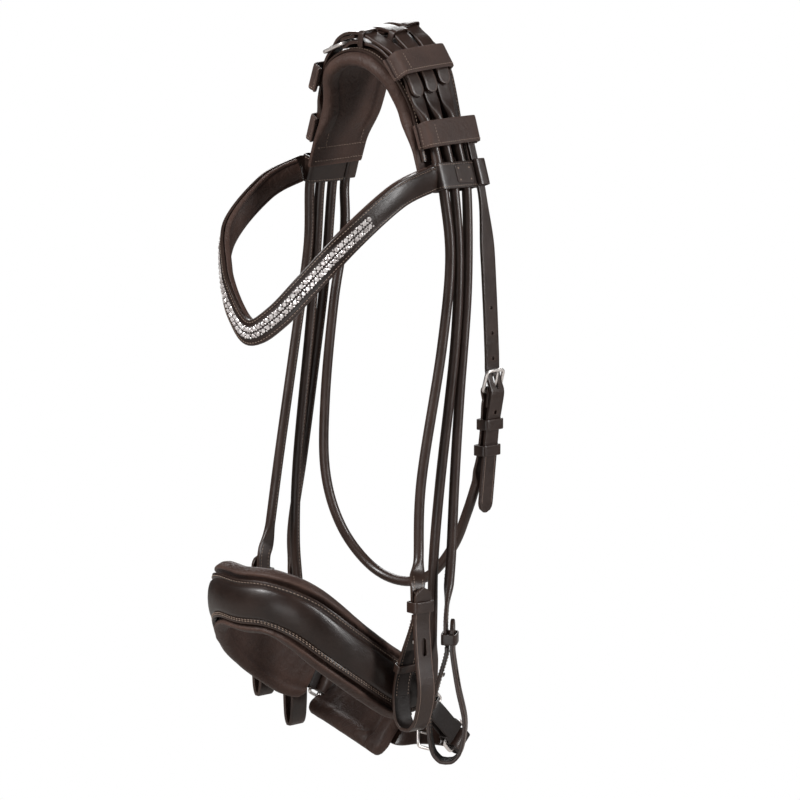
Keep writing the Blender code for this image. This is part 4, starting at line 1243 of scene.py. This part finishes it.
def make_crank():
    """The ring, link and folds of the crank; returns the bar that the chin strap folds round."""
    up, back = NEAR_RING_UP, NEAR_RING_BACK
    near_bar = ring_seat("near")[0] + back * 2 * RING_HALF[1]
    eye_bar = near_bar + back * CRANK_LINK
    make_ring("crank_ring", eye_bar, up, back)
    heel = eye_bar + back * 2 * RING_HALF[1]
    for number, centre in enumerate((eye_bar - back, heel + back)):
        ring_fold(f"crank_fold_{number}", centre, up, back, 4.3, 3.4, 2 * RING_HALF[0] - 5.0, 1.4)
    link_back = (eye_bar - near_bar).normalized()
    # The crank link is near-black leather: painted shade.
    keeper("crank_link", (near_bar + eye_bar) / 2, link_back, link_back.cross(up),
           CRANK_LINK / 2 + 3.6, 3.4, CHIN_STRAP_WIDTH - 3, 2.0, material=DARK_AND_SHADE_LEATHER, square=0.45)
    return heel


def make_chin_strap(heel):
    side_way = Vector((1, 0, 0))
    under = []
    coarse = spline(CHIN_LINE, 12.0)
    for i, point in enumerate(coarse[1:], 1):
        below = toward(side_way.cross(chin_up(i / (len(coarse) - 1))).normalized(), Vector((0, 0, -1)))
        under.append(point + below * (CHIN_PAD_THICK / 2 + 3.6))
    fold = bar_fold(heel, CRANK_LEAVES, toward(CRANK_LEAVES.cross(NEAR_RING_UP).normalized(), side_way))[::-1]
    far_bar = ring_seat("far")[0] + MUZZLE_BACK * 2 * RING_HALF[1]
    far_fold = bar_fold(far_bar, MUZZLE_BACK, side_way)
    route = spline([*far_fold, *FAR_TURN, *under, *CRANK_RUN, *fold], 1.5)
    far_x, near_x = CHIN_LINE[0][0], CHIN_LINE[-1][0]

    def strap_up(t):
        x = route[round(t * (len(route) - 1))].x
        share = min(1.0, max(0.0, (x - far_x) / (near_x - far_x)))
        up = MUZZLE_UP.lerp(chin_up(share), blend(x, far_x - 3, far_x + 6))
        return up.lerp(NEAR_RING_UP, blend(x, near_x, near_x + 16))
    strap("chin_strap_leather", route, strap_up, CHIN_STRAP_WIDTH - 3, 2.6, 0.22, STRAP, ["chin_strap"])


def make_crank_buckle():
    start, end = [Vector(point) for point in CRANK_RUN]
    along = (end - start).normalized()
    up = (NEAR_RING_UP - along * NEAR_RING_UP.dot(along)).normalized()
    face = toward(along.cross(up), Vector((1, 0, 0)))
    middle = start.lerp(end, 0.45)
    heel, toe = [middle + (along * 6.0 - face * 3.6) * sense for sense in (1, -1)]
    out = toward((toe - heel).normalized().cross(up), face)
    make_buckle("crank", heel, toe, up, CHIN_STRAP_WIDTH / 2 + 1.6, WIRE / 2, out)


make_camera()
make_studio()
make_poll_pad()
make_crown()
make_bands()
RUNS = {"bradoon": BRADOON_RUN, "noseband": HANGER_RUN, "curb": CURB_RUN}
for side_name, side_sign in SIDES.items():
    for line_name, line_run in RUNS.items():
        make_cheek(line_name, side_name, side_sign, line_run)
for line_name in LINE_Y:
    make_poll_buckle(line_name)
for loop_name in BIT_LOOPS:
    make_bit_loop(loop_name)
make_browband()
make_brow_loops()
make_throatlash()
make_noseband()
make_chin_pad()
make_chin_strap(make_crank())
make_crank_buckle()
